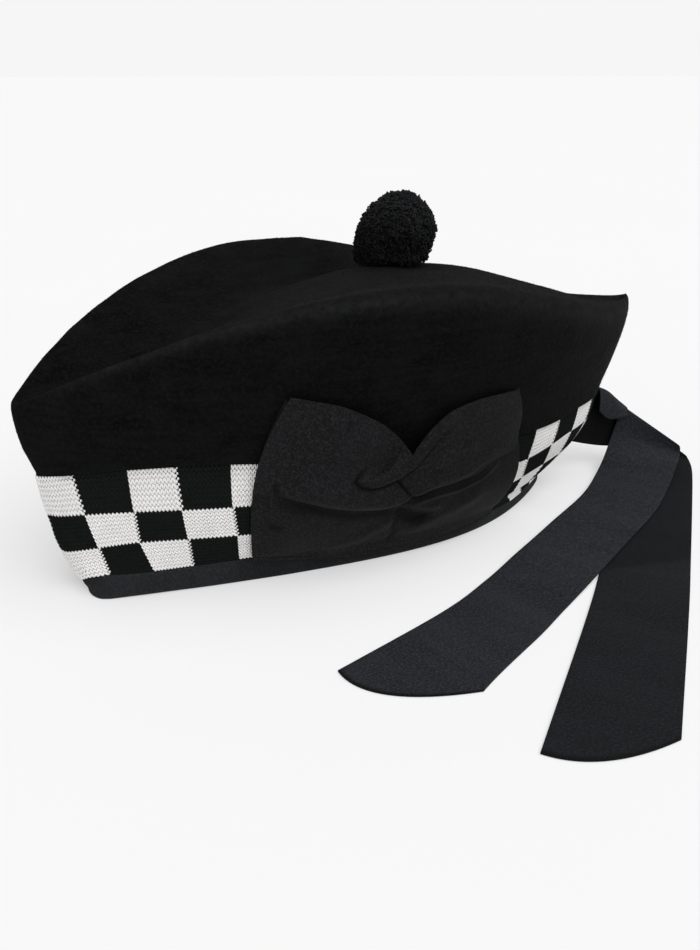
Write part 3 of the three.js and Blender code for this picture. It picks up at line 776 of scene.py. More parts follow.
def mix(tree, factor, first, second):
    """Colour between two colours or colour sockets."""
    return output_of(tree, "ShaderNodeMix", {0: factor, 6: first, 7: second}, 2, data_type="RGBA")


def math_node(tree, operation, first, second=0.0):
    return output_of(tree, "ShaderNodeMath", {0: first, 1: second}, operation=operation)


def ramp(tree, value, low, high):
    """A value spread so that low becomes 0 and high becomes 1."""
    return output_of(tree, "ShaderNodeMapRange", {"Value": value, "From Min": low, "From Max": high})


def grain(tree, place, scale, detail=2.0, roughness=0.6):
    return output_of(tree, "ShaderNodeTexNoise", {
        "Vector": place, "Scale": scale, "Detail": detail, "Roughness": roughness,
    })


def bump(tree, height, strength, distance):
    return output_of(tree, "ShaderNodeBump", {"Height": height, "Strength": strength, "Distance": distance})


def tone(colour, factor):
    return (colour[0] * factor, colour[1] * factor, colour[2] * factor, 1)


def object_place(tree):
    return output_of(tree, "ShaderNodeTexCoord", output="Object")


def cloth_place(tree):
    """Place on the cloth's UV, then its two parts."""
    uv = output_of(tree, "ShaderNodeUVMap", uv_map="cloth")
    axes = add_node(tree, "ShaderNodeSeparateXYZ", {0: uv}).outputs
    return uv, axes[0], axes[1]


def stretched(tree, place, factors):
    return output_of(tree, "ShaderNodeVectorMath", {0: place, 1: factors}, operation="MULTIPLY")


def stored(tree, name):
    """Number stored on the points of a mesh."""
    return output_of(tree, "ShaderNodeAttribute", output="Fac", attribute_name=name)


# Materials

def felt_material():
    """Pressed wool: mottled black with a matted grain and level streaks, lighter where it is rubbed and where
    highlight and light are painted on it.
    """
    material, tree, shader = start_material("wool_felt")
    place = object_place(tree)
    clouds = grain(tree, place, 70, 4)
    fibres = grain(tree, place, 700, 4, 0.7)
    matted = grain(tree, place, 330, 3)
    streaks = grain(tree, stretched(tree, place, (0.12, 0.12, 1.0)), 420, 3)
    felt = colours().felt
    shades = math_node(tree, "ADD", clouds, streaks)
    base = mix(tree, ramp(tree, shades, 0.76, 1.24), tone(felt, 0.5), tone(felt, 1.5))
    flecked = mix(tree, ramp(tree, fibres, 0.45, 0.75), base, tone(felt, 2.4))
    # The stored value lightens the felt: rubbed wear, painted highlight on the ridges and painted light on
    # the left of the top panel; round the toorie's foot it is left dark as painted shadow.
    patchy = math_node(tree, "MULTIPLY", stored(tree, "wear_and_painted_light"), ramp(tree, matted, 0.15, 0.75))
    height = math_node(tree, "ADD", fibres, math_node(tree, "MULTIPLY", matted, 1.5))
    set_inputs(tree, shader, {
        "Base Color": mix(tree, patchy, flecked, tone(colours().worn_and_highlight_felt, 1)),
        "Normal": bump(tree, height, 0.55, 0.0006), "Roughness": 0.95,
        "Specular IOR Level": 0.04, "Sheen Weight": 0.012, "Sheen Roughness": 0.5,
    })
    return material


def wool_material(name, colour, spread, heights=None):
    """Spun wool: fine fibres along the yarn and a slight change of shade from stitch to stitch.
    Where heights are given, the wool is painted dark at the first, as shade, and full at the second."""
    material, tree, shader = start_material(name)
    place = object_place(tree)
    clouds = grain(tree, place, 160, 3)
    fibres = grain(tree, place, 2600, 3, 0.7)
    base = mix(tree, ramp(tree, clouds, 0.3, 0.7), tone(colour, 1 - spread), tone(colour, 1 + spread))
    shade = mix(tree, ramp(tree, fibres, 0.3, 0.8), base, tone(colour, 1 - 2 * spread))
    if heights is not None:
        axes = add_node(tree, "ShaderNodeSeparateXYZ", {0: place}).outputs
        height = math_node(tree, "ADD", axes[2], math_node(tree, "MULTIPLY", axes[0], TOORIE_SHADE_SLOPE))
        shade = mix(tree, ramp(tree, height, *heights), tone(colour, 0.25), shade)
    set_inputs(tree, shader, {
        "Base Color": shade, "Normal": bump(tree, fibres, 0.5, 0.0002), "Roughness": 0.92,
        "Specular IOR Level": 0.05, "Sheen Weight": 0.015,
    })
    return material


def chequer_material():
    """Ground of the dicing band: dark and pale chequers under the stitches, counted on the cloth's UV."""
    material, tree, shader = start_material("dicing_ground")
    _, across, up = cloth_place(tree)
    count = math_node(tree, "ADD", math_node(tree, "FLOOR", across), math_node(tree, "FLOOR", up))
    odd = math_node(tree, "MODULO", count, 2.0)
    fibres = grain(tree, object_place(tree), 1800, 3)
    white = mix(tree, fibres, tone(colours().white_wool, 0.5), tone(colours().white_wool, 0.85))
    black = mix(tree, fibres, tone(colours().black_wool, 0.6), tone(colours().black_wool, 1.1))
    set_inputs(tree, shader, {
        "Base Color": mix(tree, odd, white, black), "Normal": bump(tree, fibres, 0.5, 0.0003),
        "Roughness": 0.95, "Specular IOR Level": 0.1,
    })
    return material


def ribbon_material(name, colour, pitch, slant, fleck):
    """Twilled ribbon: slanting ribs on the cloth's UV in metres, faded patches and a soft sheen."""
    material, tree, shader = start_material(name)
    uv, along, across = cloth_place(tree)
    ahead = math_node(tree, "MULTIPLY", along, 2 * math.pi / pitch)
    aside = math_node(tree, "MULTIPLY", across, 2 * math.pi * slant / pitch)
    sway = math_node(tree, "MULTIPLY", grain(tree, uv, 300, 3), 5.0)
    ribs = math_node(tree, "SINE", math_node(tree, "ADD", math_node(tree, "ADD", ahead, aside), sway))
    clouds = grain(tree, stretched(tree, uv, (1.0, 0.2, 1.0)), 55, 4)
    threads = grain(tree, object_place(tree), 1000, 3, 0.7)
    base = mix(tree, ramp(tree, clouds, 0.35, 0.65), tone(colour, 0.58), tone(colour, 1.42))
    ribbed = mix(tree, ramp(tree, ribs, -1.0, 1.0), tone(colour, 0.45), base)
    flecked = mix(tree, ramp(tree, threads, 0.46, 0.64), ribbed, tone(colour, fleck))
    height = math_node(tree, "ADD", ribs, math_node(tree, "MULTIPLY", threads, 2.4))
    # The stored value darkens the ribbon: painted shade in the cockade's creases and pocket, under its loops
    # and on the binding under it, painted shadow on the tie and the under tail, and the dark of tack stitches
    # and cut ends.
    set_inputs(tree, shader, {
        "Base Color": mix(tree, stored(tree, "painted_shade_and_marks"), flecked, tone(colour, 0.12)),
        "Normal": bump(tree, height, 0.3, 0.0002), "Roughness": 0.75,
        "Specular IOR Level": 0.1, "Sheen Weight": 0.015, "Sheen Roughness": 0.4,
    })
    return material


def floor_material():
    """Top of a light table: a pale sheet that glows a little from below."""
    material, tree, shader = start_material("pale_floor")
    clouds = grain(tree, object_place(tree), 3, 2)
    floor = colours().floor
    set_inputs(tree, shader, {
        "Base Color": mix(tree, clouds, tone(floor, 0.99), tone(floor, 1.01)),
        "Emission Color": (1, 1, 1, 1), "Emission Strength": FLOOR_GLOW,
        "Roughness": 0.9, "Specular IOR Level": 0.1,
    })
    return material


# Crown

def panel_point(turn, share):
    """Top panel on its way from the ridge, share 1, to the centre line, share 0."""
    turn, share = np.broadcast_arrays(turn, share)
    ridge = loop_point(RIDGE, turn)
    centre_x = RIDGE["centre"] - (RIDGE["half_length"] - TIP_INSET) * np.cos(turn)
    centre = through(PANEL_X, PANEL_CENTRE, centre_x)
    sink = through(PANEL_X, PANEL_SINK, centre_x) * np.maximum(0, -np.sin(turn))
    trough = np.sin(np.pi * share) ** TROUGH_POWER
    z = ridge[..., 2] + (centre - ridge[..., 2]) * (1 - share ** SLOPE_POWER) - sink * trough
    x = centre_x + (ridge[..., 0] - centre_x) * share
    return np.stack([x, ridge[..., 1] * share, z], axis=-1)


def nose_share(turn):
    """1 at the front of the cap, falling to 0 at its sides."""
    return rise(np.cos(turn), NOSE_FROM, NOSE_SPAN)


def crown_edge(turn):
    """Level of the crown's lower edge, the same on both sides of the cap."""
    return through(ROW_TURN, ROW_TOP, degrees_from_front(turn))


def crown_net():
    """Outer skin of the crown: each section runs from the lower edge over the ridge to the centre line."""
    turn = 2 * np.pi * np.arange(CROWN_STATIONS)[:, None] / CROWN_STATIONS
    ridge = loop_point(RIDGE, turn)
    wall = np.linalg.norm(ridge - loop_point(BAND_TOP, turn), axis=-1)
    reach = np.linalg.norm(ridge - panel_point(turn, 0.0), axis=-1)
    wall_stop = 1 - through(ROUND_TURN, ROUND_WALL, np.degrees(turn)) / wall
    rounded = through(ROUND_TURN, ROUND_PANEL, np.degrees(turn)) / reach
    panel_start = 1 - np.minimum(rounded, MOST_ROUNDED)
    foot = crown_edge(turn) - 1
    climbed = foot + (wall_stop - foot) * np.linspace(0, 1, WALL_ROWS)
    tucked = NOSE_TUCK * nose_share(turn) * np.maximum(1 - NOSE_FADE * np.abs(climbed), 0)
    side = off_side(turn, 1 + climbed, CROWN_PROUD * (1 - climbed) - tucked)
    panel = panel_point(turn, panel_start * np.linspace(1, 0, PANEL_ROWS))
    u = np.linspace(0, 1, RIDGE_ROWS + 2)[None, 1:-1, None]
    over = side[:, -1:] * (1 - u) ** 2 + ridge * 2 * u * (1 - u) + panel[:, :1] * u * u
    return np.concatenate([side, over, panel], axis=1), turn


def lighter_from(x, wear_and_painted_light):
    """Lightening that grows towards the back, given by its most, its start and its length."""
    most, start, span = wear_and_painted_light
    return most * rise(x, start, span)


def crown_wear_and_light(net, turn):
    """Lighter felt: two lines along the ridge, rubbed and with painted highlight, weaker on the right side as
    painted shade; the rubbed back tip; painted light on the left of the top panel; and the crease. None of it
    reaches the foot of the toorie, which is left dark as painted shadow."""
    x, y, _ = np.moveaxis(net, -1, 0)
    place = (np.arange(net.shape[1])[None, :] - WALL_ROWS) / RIDGE_ROWS
    left = np.clip(np.sin(turn) * LEFT_GROWTH, 0, 1)
    along = np.interp(x, WEAR_X, WEAR_SHARE)
    lines = sum(strength * bell((place - middle) / width) for strength, middle, width in WEAR_AND_HIGHLIGHT_LINES)
    ridge = lines * along * (SHADED_RIGHT_SHARE + (1 - SHADED_RIGHT_SHARE) * left)
    panel = np.clip(place * PANEL_GROWTH, 0, 1)
    painted_near_light = panel * left * lighter_from(x, PANEL_PAINTED_LIGHT)
    crease = bell(y / CREASE_WIDTH) * panel * lighter_from(x, CREASE_LIGHTENING)
    from_toorie = np.hypot(x - TOORIE_X, y) - TOORIE_RADIUS
    wear_and_painted_light = np.clip(ridge + painted_near_light + crease + lighter_from(x, TIP_WEAR), 0, 1)
    # Left dark round the toorie's foot, as painted shadow.
    return wear_and_painted_light * rise(from_toorie, 0, TOORIE_SHADOW)


def close_seam(mesh):
    """Joins the points that lie on each other along the crown's centre line."""
    seam = bmesh.new()
    seam.from_mesh(mesh)
    bmesh.ops.remove_doubles(seam, verts=seam.verts, dist=1e-6)
    bmesh.ops.dissolve_degenerate(seam, edges=seam.edges, dist=1e-7)
    seam.to_mesh(mesh)
    seam.free()


def build_crown():
    net, turn = crown_net()
    wear_and_painted_light = crown_wear_and_light(net, turn)
    calm = np.ones(net.shape[1])
    calm[:len(EDGE_CALM)] = EDGE_CALM
    calm[-len(EDGE_CALM):] = EDGE_CALM[::-1]
    wrapped = np.concatenate([net[-1:], net, net[:1]])
    net = net + net_normals(wrapped)[1:-1] * (waves_at(net, FELT_WAVES) * calm)[..., None]
    mesh = net_mesh("felt_crown", net, round_rows=True)
    set_attribute(mesh, "wear_and_painted_light", wear_and_painted_light)
    close_seam(mesh)
    nap_base = mesh.copy()
    felt = felt_material()
    crown = new_object("felt_crown", mesh)
    thicken(crown, sizes().felt, offset=-1, edge=FELT_EDGE)
    give(crown, felt)
    declare(crown, "felt", "crown")
    nap = grow("felt_nap", nap_base, nap_tree(), {
        "Density": sizes().nap_density, "Length": sizes().nap_length,
        "Thickness": NAP_THICKNESS, "Lean": NAP_LEAN, "Seed": NAP_SEED, "Material": felt,
    })
    declare(nap, "felt")


def nap_tree():
    """Loose wool fibres lying every way on a surface."""
    tree, given = start_geometry("felt_nap", (
        ("Density", "Float"), ("Length", "Float"), ("Thickness", "Float"),
        ("Lean", "Float"), ("Seed", "Int"), ("Material", "Material"),
    ))
    points = add_node(tree, "GeometryNodeDistributePointsOnFaces", {
        "Mesh": given["Geometry"], "Density": given["Density"], "Seed": given["Seed"],
    }).outputs
    fibre = output_of(tree, "GeometryNodeMeshCone", {
        "Vertices": 3, "Radius Top": 0.0, "Radius Bottom": given["Thickness"], "Depth": given["Length"],
    }, "Mesh")
    spun = turned(tree, points["Rotation"], random_angles(tree, (0, 0, -math.pi), (0, 0, math.pi)))
    leaned = turned(tree, spun, combined(tree, X=given["Lean"]))
    end_geometry(tree, points["Points"], fibre, leaned, random_size(tree, *NAP_SPREAD), given["Material"])
    return tree


# Dicing band

def chequer_turn(cells, height):
    """Turns of places counted in chequers round from the front and in rows up from the foot."""
    turns = np.linspace(0, np.pi, ARC_STEPS)
    level = np.interp(height, (0, 1, 2, 3), WIDTH_LEVEL)
    arc = run_along(side_point(turns, level))
    half = sizes().cells / 2
    even = EVEN_CELLS * (CELL_LOW + CELL_RISE * level)
    near = np.minimum(cells, 2 * half - cells)
    place = np.interp(near, (0, EVEN_CELLS, half), (0, even, arc[-1]))
    shifts = (SHIFT_FOOT, SHIFT_FIRST, SHIFT_SECOND, SHIFT_TOP)
    shift = row_between([np.interp(near, SHIFT_CELL, row) for row in shifts], height)
    turn = np.interp(place + shift, arc, turns)
    return np.where(cells > half, 2 * np.pi - turn, turn)


def chequer_level(turn, height):
    """Levels at heights counted in rows of chequers up from the foot of the band."""
    rows = (ROW_FOOT, ROW_FAR_FOOT, ROW_FIRST, ROW_SECOND, ROW_TOP)
    near, far, *rest = (through(ROW_TURN, row, degrees_from_front(turn)) for row in rows)
    return row_between([np.where(np.sin(turn) < 0, far, near), *rest], height)


def band_point(cells, height, out):
    """Points of the band at places round it, with its bulge at the front."""
    turn = chequer_turn(cells, height)
    level = chequer_level(turn, height)
    return off_side(turn, level, out + nose_share(turn) * through(NOSE_LEVEL, NOSE_OUT, level))


def build_dicing_band():
    place = np.arange(STATIONS_PER_CELL * sizes().cells + 1) / STATIONS_PER_CELL
    heights = np.concatenate([np.linspace(0, TUCK_FROM, BAND_ROWS), HEM_HEIGHTS])
    tuck = -TOP_TUCK * rise(heights, TUCK_FROM, TUCK_SPAN)
    net = np.stack([band_point(place[:-1], height, out) for height, out in zip(heights, tuck)], axis=1)
    u, v = np.meshgrid(place, heights, indexing="ij")
    mesh = net_mesh("dicing_ground", net, np.stack([u, v], axis=-1), round_rows=True)
    band = new_object("dicing_ground", mesh)
    thicken(band, sizes().knit, offset=-1, edge=KNIT_EDGE)
    give(band, chequer_material())
    declare(band, "knit", "dicing_band")
    build_stitches()


def stitch_places():
    """Place, directions, size and colour of every stitch of the band."""
    wales = sizes().wales
    courses = sizes().courses
    order = np.arange(sizes().cells * wales)
    column = (order + 0.5) / wales
    last = order % wales == wales - 1
    half_wale = 0.5 / wales
    half_course = 0.5 / courses
    places, ups, outs, spans, whites = [], [], [], [], []
    for course in range(3 * courses):
        height = (course + 0.5) / courses
        white = (np.floor(column).astype(int) + course // courses) % 2 == 0
        tooth = white & last
        cell = column + np.where(tooth, TOOTH_SHIFT / wales, 0)
        here, below, above, behind, ahead = (
            band_point(cell + step, height + climb, STITCH_PROUD)
            for step, climb in ((0, 0), (0, -half_course), (0, half_course), (-half_wale, 0), (half_wale, 0)))
        width = np.where(tooth, TOOTH_WIDTH, 1.0) * np.linalg.norm(ahead - behind, axis=1)
        length = np.linalg.norm(above - below, axis=1)
        places.append(here)
        ups.append(unit(above - below))
        outs.append(unit(np.cross(ahead - behind, above - below)))
        spans.append(np.stack([width, length, np.full(len(cell), STITCH_DEPTH)], axis=1))
        whites.append(white)
    return [np.concatenate(part) for part in (places, ups, outs, spans, whites)]


def stitch_tree():
    """Knitted stitches: two leaning strands of yarn in a V at every point."""
    tree, given = start_geometry("knit_stitches", (
        *((name, "Float") for name in STRANDS), ("Material", "Material"),
    ))
    ball = output_of(tree, "GeometryNodeMeshUVSphere", {"Segments": 4, "Rings": 3, "Radius": 0.5}, "Mesh")
    upright = output_of(tree, "GeometryNodeTransform", {"Geometry": ball, "Rotation": (math.pi / 2, 0, 0)})
    size = combined(tree, X=given["Strand Width"], Y=given["Strand Length"], Z=given["Strand Depth"])
    strand = output_of(tree, "GeometryNodeTransform", {"Geometry": upright, "Scale": size})
    stitch = tree.nodes.new("GeometryNodeJoinGeometry")
    for side in (-1.0, 1.0):
        lean = math_node(tree, "MULTIPLY", given["Lean"], -side)
        apart = math_node(tree, "MULTIPLY", given["Spread"], side)
        leg = output_of(tree, "GeometryNodeTransform", {
            "Geometry": strand, "Rotation": combined(tree, Z=lean), "Translation": combined(tree, X=apart),
        })
        tree.links.new(leg, stitch.inputs[0])
    out, up, span = (
        output_of(tree, "GeometryNodeInputNamedAttribute", {"Name": name}, data_type="FLOAT_VECTOR")
        for name in ("out", "up", "span"))
    facing = output_of(tree, "FunctionNodeAlignRotationToVector", {"Vector": out}, axis="Z")
    standing = output_of(tree, "FunctionNodeAlignRotationToVector", {
        "Rotation": facing, "Vector": up,
    }, axis="Y", pivot_axis="Z")
    end_geometry(tree, given["Geometry"], stitch.outputs[0], standing, span, given["Material"])
    return tree


def build_stitches():
    places, ups, outs, spans, whites = stitch_places()
    tree = stitch_tree()
    wools = (
        ("dicing_white", whites, wool_material("white_wool", colours().white_wool, spread=0.06)),
        ("dicing_black", ~whites, wool_material("black_wool", colours().black_wool, spread=0.15)),
    )
    for name, chosen, wool in wools:
        mesh = bpy.data.meshes.new(name)
        mesh.from_pydata((places[chosen] * MM).tolist(), [], [])
        for attribute, values in (("up", ups), ("out", outs), ("span", spans * MM)):
            set_attribute(mesh, attribute, values[chosen], "FLOAT_VECTOR")
        stitches = grow(name, mesh, tree, {**STRANDS, "Material": wool})
        declare(stitches, "knit")


# Bound edge

def build_edge_binding():
    """Ribbon folded round the rim, with a rounded lower fold and fine upright ribs."""
    pitch = sizes().rib / MM
    stations = 2 * round(RIM_LENGTH / pitch)
    turns = np.interp(np.arange(stations) / stations, *rim_shares())
    ribs = np.where(np.arange(stations) % 2 == 0, RIB_HEIGHT, -RIB_HEIGHT)
    tail = rise(-np.cos(turns), BACK_FROM, BACK_SPAN)
    push = through(PUSH_TURN, PUSH_OUT, degrees_from_front(turns))
    columns = []
    for level, out in BINDING_PROFILE:
        ribbed = ribs * np.sign(out) if RIBS_FROM < level < RIBS_TO else 0 * ribs
        front = nose_share(turns) * through(FRONT_LEVEL, FRONT_OUT, level)
        back = -BACK_TUCK * tail * rise(level, 0, BACK_FOOT)
        foot = push * max(1 - level / PUSH_TOP, 0)
        columns.append(off_side(turns, np.full(stations, level), out + ribbed + front + back + foot))
    net = np.stack(columns, axis=1)
    sway = waves_at(net, BINDING_WAVES)[..., None] * rise(net[..., 2:], 0, SWAY_HEIGHT)
    net[..., :2] += sway * unit(net[..., :2])
    along = np.arange(stations + 1) * pitch / 2 * MM
    height = np.array([level for level, _ in (*BINDING_PROFILE, BINDING_PROFILE[0])]) * BAND_HEIGHT * MM
    u, v = np.meshgrid(along, height, indexing="ij")
    mesh = net_mesh("bound_edge", net, np.stack([u, v], axis=-1), round_rows=True, round_columns=True)
    lee = np.interp(degrees_from_front(turns), LEE_TURN, LEE_SHADE)
    set_attribute(mesh, "painted_shade_and_marks", np.repeat(np.where(np.sin(turns) > 0, lee, 0), len(BINDING_PROFILE)))
    mesh.shade_smooth()
    binding = new_object("bound_edge", mesh)
    ribbon = ribbon_material("binding_ribbon", colours().binding, sizes().rib, slant=0.2, fleck=1.3)
    give(binding, ribbon)
    declare(binding, "binding", "edge_binding")


def rim_shares():
    """Share of the rim's length, and the turn reached there, all round."""
    turns = np.linspace(0, 2 * np.pi, RIM_STEPS)
    arc = run_along(side_point(turns, RIM_LEVEL))
    return arc / arc[-1], turns


# Toorie

def lock_directions():
    """Directions of the locks, spread evenly over a ball."""
    order = np.arange(LOCKS)
    z = 1 - (2 * order + 1) / LOCKS
    turn = order * math.pi * (3 - math.sqrt(5))
    level = np.sqrt(1 - z * z)
    return np.stack([level * np.cos(turn), level * np.sin(turn), z], axis=1)


def toorie_mesh():
    """Ball of locks, drawn in by its inset so that curls of yarn can stand on it."""
    ball = bmesh.new()
    bmesh.ops.create_icosphere(ball, subdivisions=5, radius=1)
    for vert in ball.verts:
        vert.co.normalize()
    directions = np.array([vert.co for vert in ball.verts])
    towards = directions @ lock_directions().T * LOCK_PLACE
    inside = LOCK_RADIUS ** 2 - LOCK_PLACE ** 2 + towards ** 2
    reach = np.where((inside > 0) & (towards > 0), towards + np.sqrt(np.maximum(inside, 0)), 0)
    locks = np.maximum(TOORIE_HEAD, reach.max(axis=1))
    radius = TOORIE_RADIUS + LOCK_SHARE * (locks - TOORIE_RADIUS) - TOORIE_INSET
    for direction, depth, width in TOORIE_DENTS:
        gap = np.linalg.norm(directions - unit(np.array(direction)), axis=1)
        radius -= depth * bell(gap / width)
    points = directions * radius[:, None]
    low = np.clip(-directions[:, 2], 0, FOOT_END)
    points[:, :2] *= ((1 - low ** FOOT_POWER) ** (1 / FOOT_POWER) / np.sqrt(1 - low * low))[:, None]
    points[:, 0] += TOORIE_LEAN * np.maximum(points[:, 2], LEAN_FROM)
    points[:, 2] *= TOORIE_STRETCH
    points += (TOORIE_X, 0, TOORIE_Z)
    felt = bpy.data.objects["felt_crown"]
    for vert, point in zip(ball.verts, points):
        vert.co = point * MM
        hit, ground, _, _ = felt.ray_cast(Vector((vert.co.x, vert.co.y, ABOVE_CAP)), Vector((0, 0, -1)))
        if hit:
            vert.co.z = max(vert.co.z, ground.z)
    mesh = bpy.data.meshes.new("toorie_ball")
    ball.to_mesh(mesh)
    ball.free()
    return mesh


def curl_tree():
    """Curls of yarn standing every way on a surface, but not on its underside."""
    tree, given = start_geometry("yarn_curls", (
        ("Density", "Float"), ("Curl", "Float"), ("Yarn", "Float"),
        ("Tilt", "Float"), ("Seed", "Int"), ("Material", "Material"),
    ))
    normal = output_of(tree, "GeometryNodeInputNormal")
    upward = output_of(tree, "ShaderNodeSeparateXYZ", {0: normal}, "Z")
    free = output_of(
        tree, "FunctionNodeCompare", {0: upward, 1: CURL_DOWN}, data_type="FLOAT", operation="GREATER_THAN")
    points = add_node(tree, "GeometryNodeDistributePointsOnFaces", {
        "Mesh": given["Geometry"], "Selection": free, "Density": given["Density"], "Seed": given["Seed"],
    }).outputs
    spiral = output_of(tree, "GeometryNodeCurveSpiral", {
        "Resolution": 6, "Rotations": CURL_TURNS, "Start Radius": given["Curl"],
        "End Radius": math_node(tree, "MULTIPLY", given["Curl"], CURL_TAPER),
        "Height": math_node(tree, "MULTIPLY", given["Curl"], CURL_RISE),
    })
    ring = output_of(tree, "GeometryNodeCurvePrimitiveCircle", {"Resolution": 3, "Radius": given["Yarn"]})
    curl = output_of(
        tree, "GeometryNodeCurveToMesh", {"Curve": spiral, "Profile Curve": ring, "Fill Caps": True})
    back = math_node(tree, "MULTIPLY", given["Tilt"], -1.0)
    least = combined(tree, X=back, Y=back, Z=-math.pi)
    most = combined(tree, X=given["Tilt"], Y=given["Tilt"], Z=math.pi)
    leaned = turned(tree, points["Rotation"], random_angles(tree, least, most))
    end_geometry(tree, points["Points"], curl, leaned, random_size(tree, *CURL_SPREAD), given["Material"])
    return tree


def build_toorie():
    # The curls are painted dark low at the front, as shade, and the ball under them is a darker copy of the
    # yarn, painted shade between the curls.
    yarn = wool_material("black_yarn", colours().yarn, spread=0.3, heights=TOORIE_SHADE_RISE)
    core = wool_material("shaded_yarn", [CORE_SHADE * part for part in colours().yarn], spread=0.2)
    mesh = toorie_mesh()
    curl_base = mesh.copy()
    mesh.shade_smooth()
    ball = new_object("toorie_ball", mesh)
    give(ball, core)
    declare(ball, "yarn", "toorie")
    curls = grow("toorie_curls", curl_base, curl_tree(), {
        "Density": sizes().curl_density, "Curl": sizes().curl, "Yarn": sizes().yarn,
        "Tilt": CURL_TILT, "Seed": CURL_SEED, "Material": yarn,
    })
    declare(curls, "yarn")


# Cockade

def flat_place(turn, level):
    """Turn and level as millimetres on the side of the cap laid flat."""
    height = FLAT_BAND * np.minimum(level, 1) + FLAT_CROWN * np.maximum(level - 1, 0)
    return np.stack([(turn - FLAT_MIDDLE) * FLAT_TURN, height], axis=-1)


def crease_distance(turn, level, crease):
    """Distance in millimetres from a crease, positive on its left going along it, and the share of its
    length where it is nearest."""
    here = flat_place(turn, level)
    line = flat_place(*np.array(crease, float).T)
    best = np.full(turn.shape, 1e9)
    signed = np.zeros(turn.shape)
    share = np.zeros(turn.shape)
    steps = len(line) - 1
    for i in range(steps):
        run = line[i + 1] - line[i]
        away = here - line[i]
        t = np.clip((away @ run) / (run @ run), 0, 1)
        gap = np.linalg.norm(away - t[..., None] * run, axis=-1)
        side = np.sign(run[0] * away[..., 1] - run[1] * away[..., 0])
        nearer = gap < best
        best = np.where(nearer, gap, best)
        signed = np.where(nearer, gap * side, signed)
        share = np.where(nearer, (i + t) / steps, share)
    return signed, share


def fading(share, first, last):
    """1 along a crease, fading to 0 at its ends over shares of its length."""
    return rise(share, 0, first) * rise(1 - share, 0, last)


def swell(turn, level, crease, height, width):
    """Ridge, or with a negative height a hollow, along a crease, fading at its ends."""
    distance, share = crease_distance(turn, level, crease)
    full = fading(share, FOLD_FADE, FOLD_FADE)
    return height * bell(distance / width) * (FOLD_END + (1 - FOLD_END) * full)


def sheet_places(rows):
    """Turn, level and lift of a cockade sheet, and the place across each section."""
    order = np.linspace(0, len(rows) - 1, SHEET_STEPS)[:, None]
    value = columns_at(SECTION, rows, order)
    v = np.linspace(0, 1, SHEET_LAYERS)[None, :]
    hump = 4 * v * (1 - v)
    turn = value["low_turn"] + (value["high_turn"] - value["low_turn"]) * v + value["bow"] * hump
    level = value["low"] + (value["high"] - value["low"]) * v
    ends = value["lift_low"] * (1 - v) + value["lift_high"] * v
    belly = value["lift_mid"] - (value["lift_low"] + value["lift_high"]) / 2
    return turn, level, ends + belly * hump, v + 0 * turn


def bow_folds(turn, level):
    """Relief of both loops: the roll over the knot, which runs on as a strip, and the crossing below it."""
    distance, share = crease_distance(turn, level, EYELID)
    x, y = np.moveaxis(flat_place(turn, level), -1, 0)
    left_half = np.clip((ROLL_SPLIT - x) / SPLIT_FADE, 0, 1)
    round_left = bell(np.minimum(x - ROLL_LEFT, 0) / LEFT_FADE)
    round_top = np.exp(-((np.maximum(y - ROLL_TOP, 0) / TOP_FADE) ** 2 * left_half))
    climb = 1 - np.exp(-np.maximum(distance, 0) / ROLL_STEEP)
    roll = ROLL_HEIGHT * climb * round_left * round_top
    groove = -GROOVE_DEPTH * bell(distance / GROOVE_WIDTH)
    relief = np.where(distance > 0, roll, 0) + groove
    return fading(share, *ROLL_ENDS) * relief + swell(turn, level, *CROSSING_FOLD)


def crease_shade(turn, level, shades):
    """Painted shade along the ribbon's creases, and the dark of its tack stitches, from 0 to 1."""
    painted_shade_and_marks = np.zeros(turn.shape)
    for crease, depth, width in shades:
        distance, share = crease_distance(turn, level, crease)
        painted_shade_and_marks = np.maximum(painted_shade_and_marks, depth * fading(share, SHADE_FADE, SHADE_FADE) * bell(distance / width))
    return painted_shade_and_marks


def rolled_edge(level, lift, v, depth):
    """Turns the lower edge of a loop in towards the cap, as the fold of a pleat."""
    bend = (1 - np.clip(v / EDGE_SHARE, 0, 1)) * math.pi / 2
    climb = EDGE_CLIMB * np.sin(bend) ** 2 * (bend > EDGE_PAST)
    return level + climb, lift - depth * (1 - np.cos(bend))


def ribbon_piece(name, node, net, uv, painted_shade_and_marks, material):
    """Ribbon over a net of points, each with its shade, that stands for a node."""
    mesh = net_mesh(name, net, uv)
    set_attribute(mesh, "painted_shade_and_marks", painted_shade_and_marks)
    piece = new_object(name, mesh)
    thicken(piece, sizes().ribbon, offset=0, edge=CUT_EDGE)
    give(piece, material)
    declare(piece, "ribbon", node)
    return piece


def cockade_piece(name, node, rows, folds, looped, edge_depth, material):
    """Sheet of the cockade. A looped one shares the roll over the knot, and edge_depth is how far its
    lower edge turns in, from its first row to its last."""
    turn, level, lift, v = sheet_places(rows)
    # Painted shade along the creases and, further down, on the turned hem; the under layer is darker all
    # over.
    shade, shades = (0, LOOP_SHADES) if looped else (UNDER_SHADE, UNDER_SHADES)
    painted_shade_and_marks = shade + (1 - shade) * crease_shade(turn, level, shades)
    relief = sum(swell(turn, level, *fold) for fold in folds)
    if looped:
        relief = relief + bow_folds(turn, level)
    lift = np.maximum(lift + relief, LEAST_LIFT)
    depth = np.interp(np.linspace(0, 1, SHEET_STEPS), EDGE_PLACES, edge_depth)[:, None]
    hem = np.clip(1 - v / HEM_SHARE, 0, 1) * depth / max(*edge_depth, 1)
    level, lift = rolled_edge(level, lift, v, depth)
    net = off_side(np.radians(turn), level, lift)
    net = net + net_normals(net) * waves_at(net, RIBBON_WAVES)[..., None]
    uv = flat_place(turn, level) * MM
    piece = ribbon_piece(name, node, net, uv, np.maximum(painted_shade_and_marks, HEM_SHADE * hem), material)


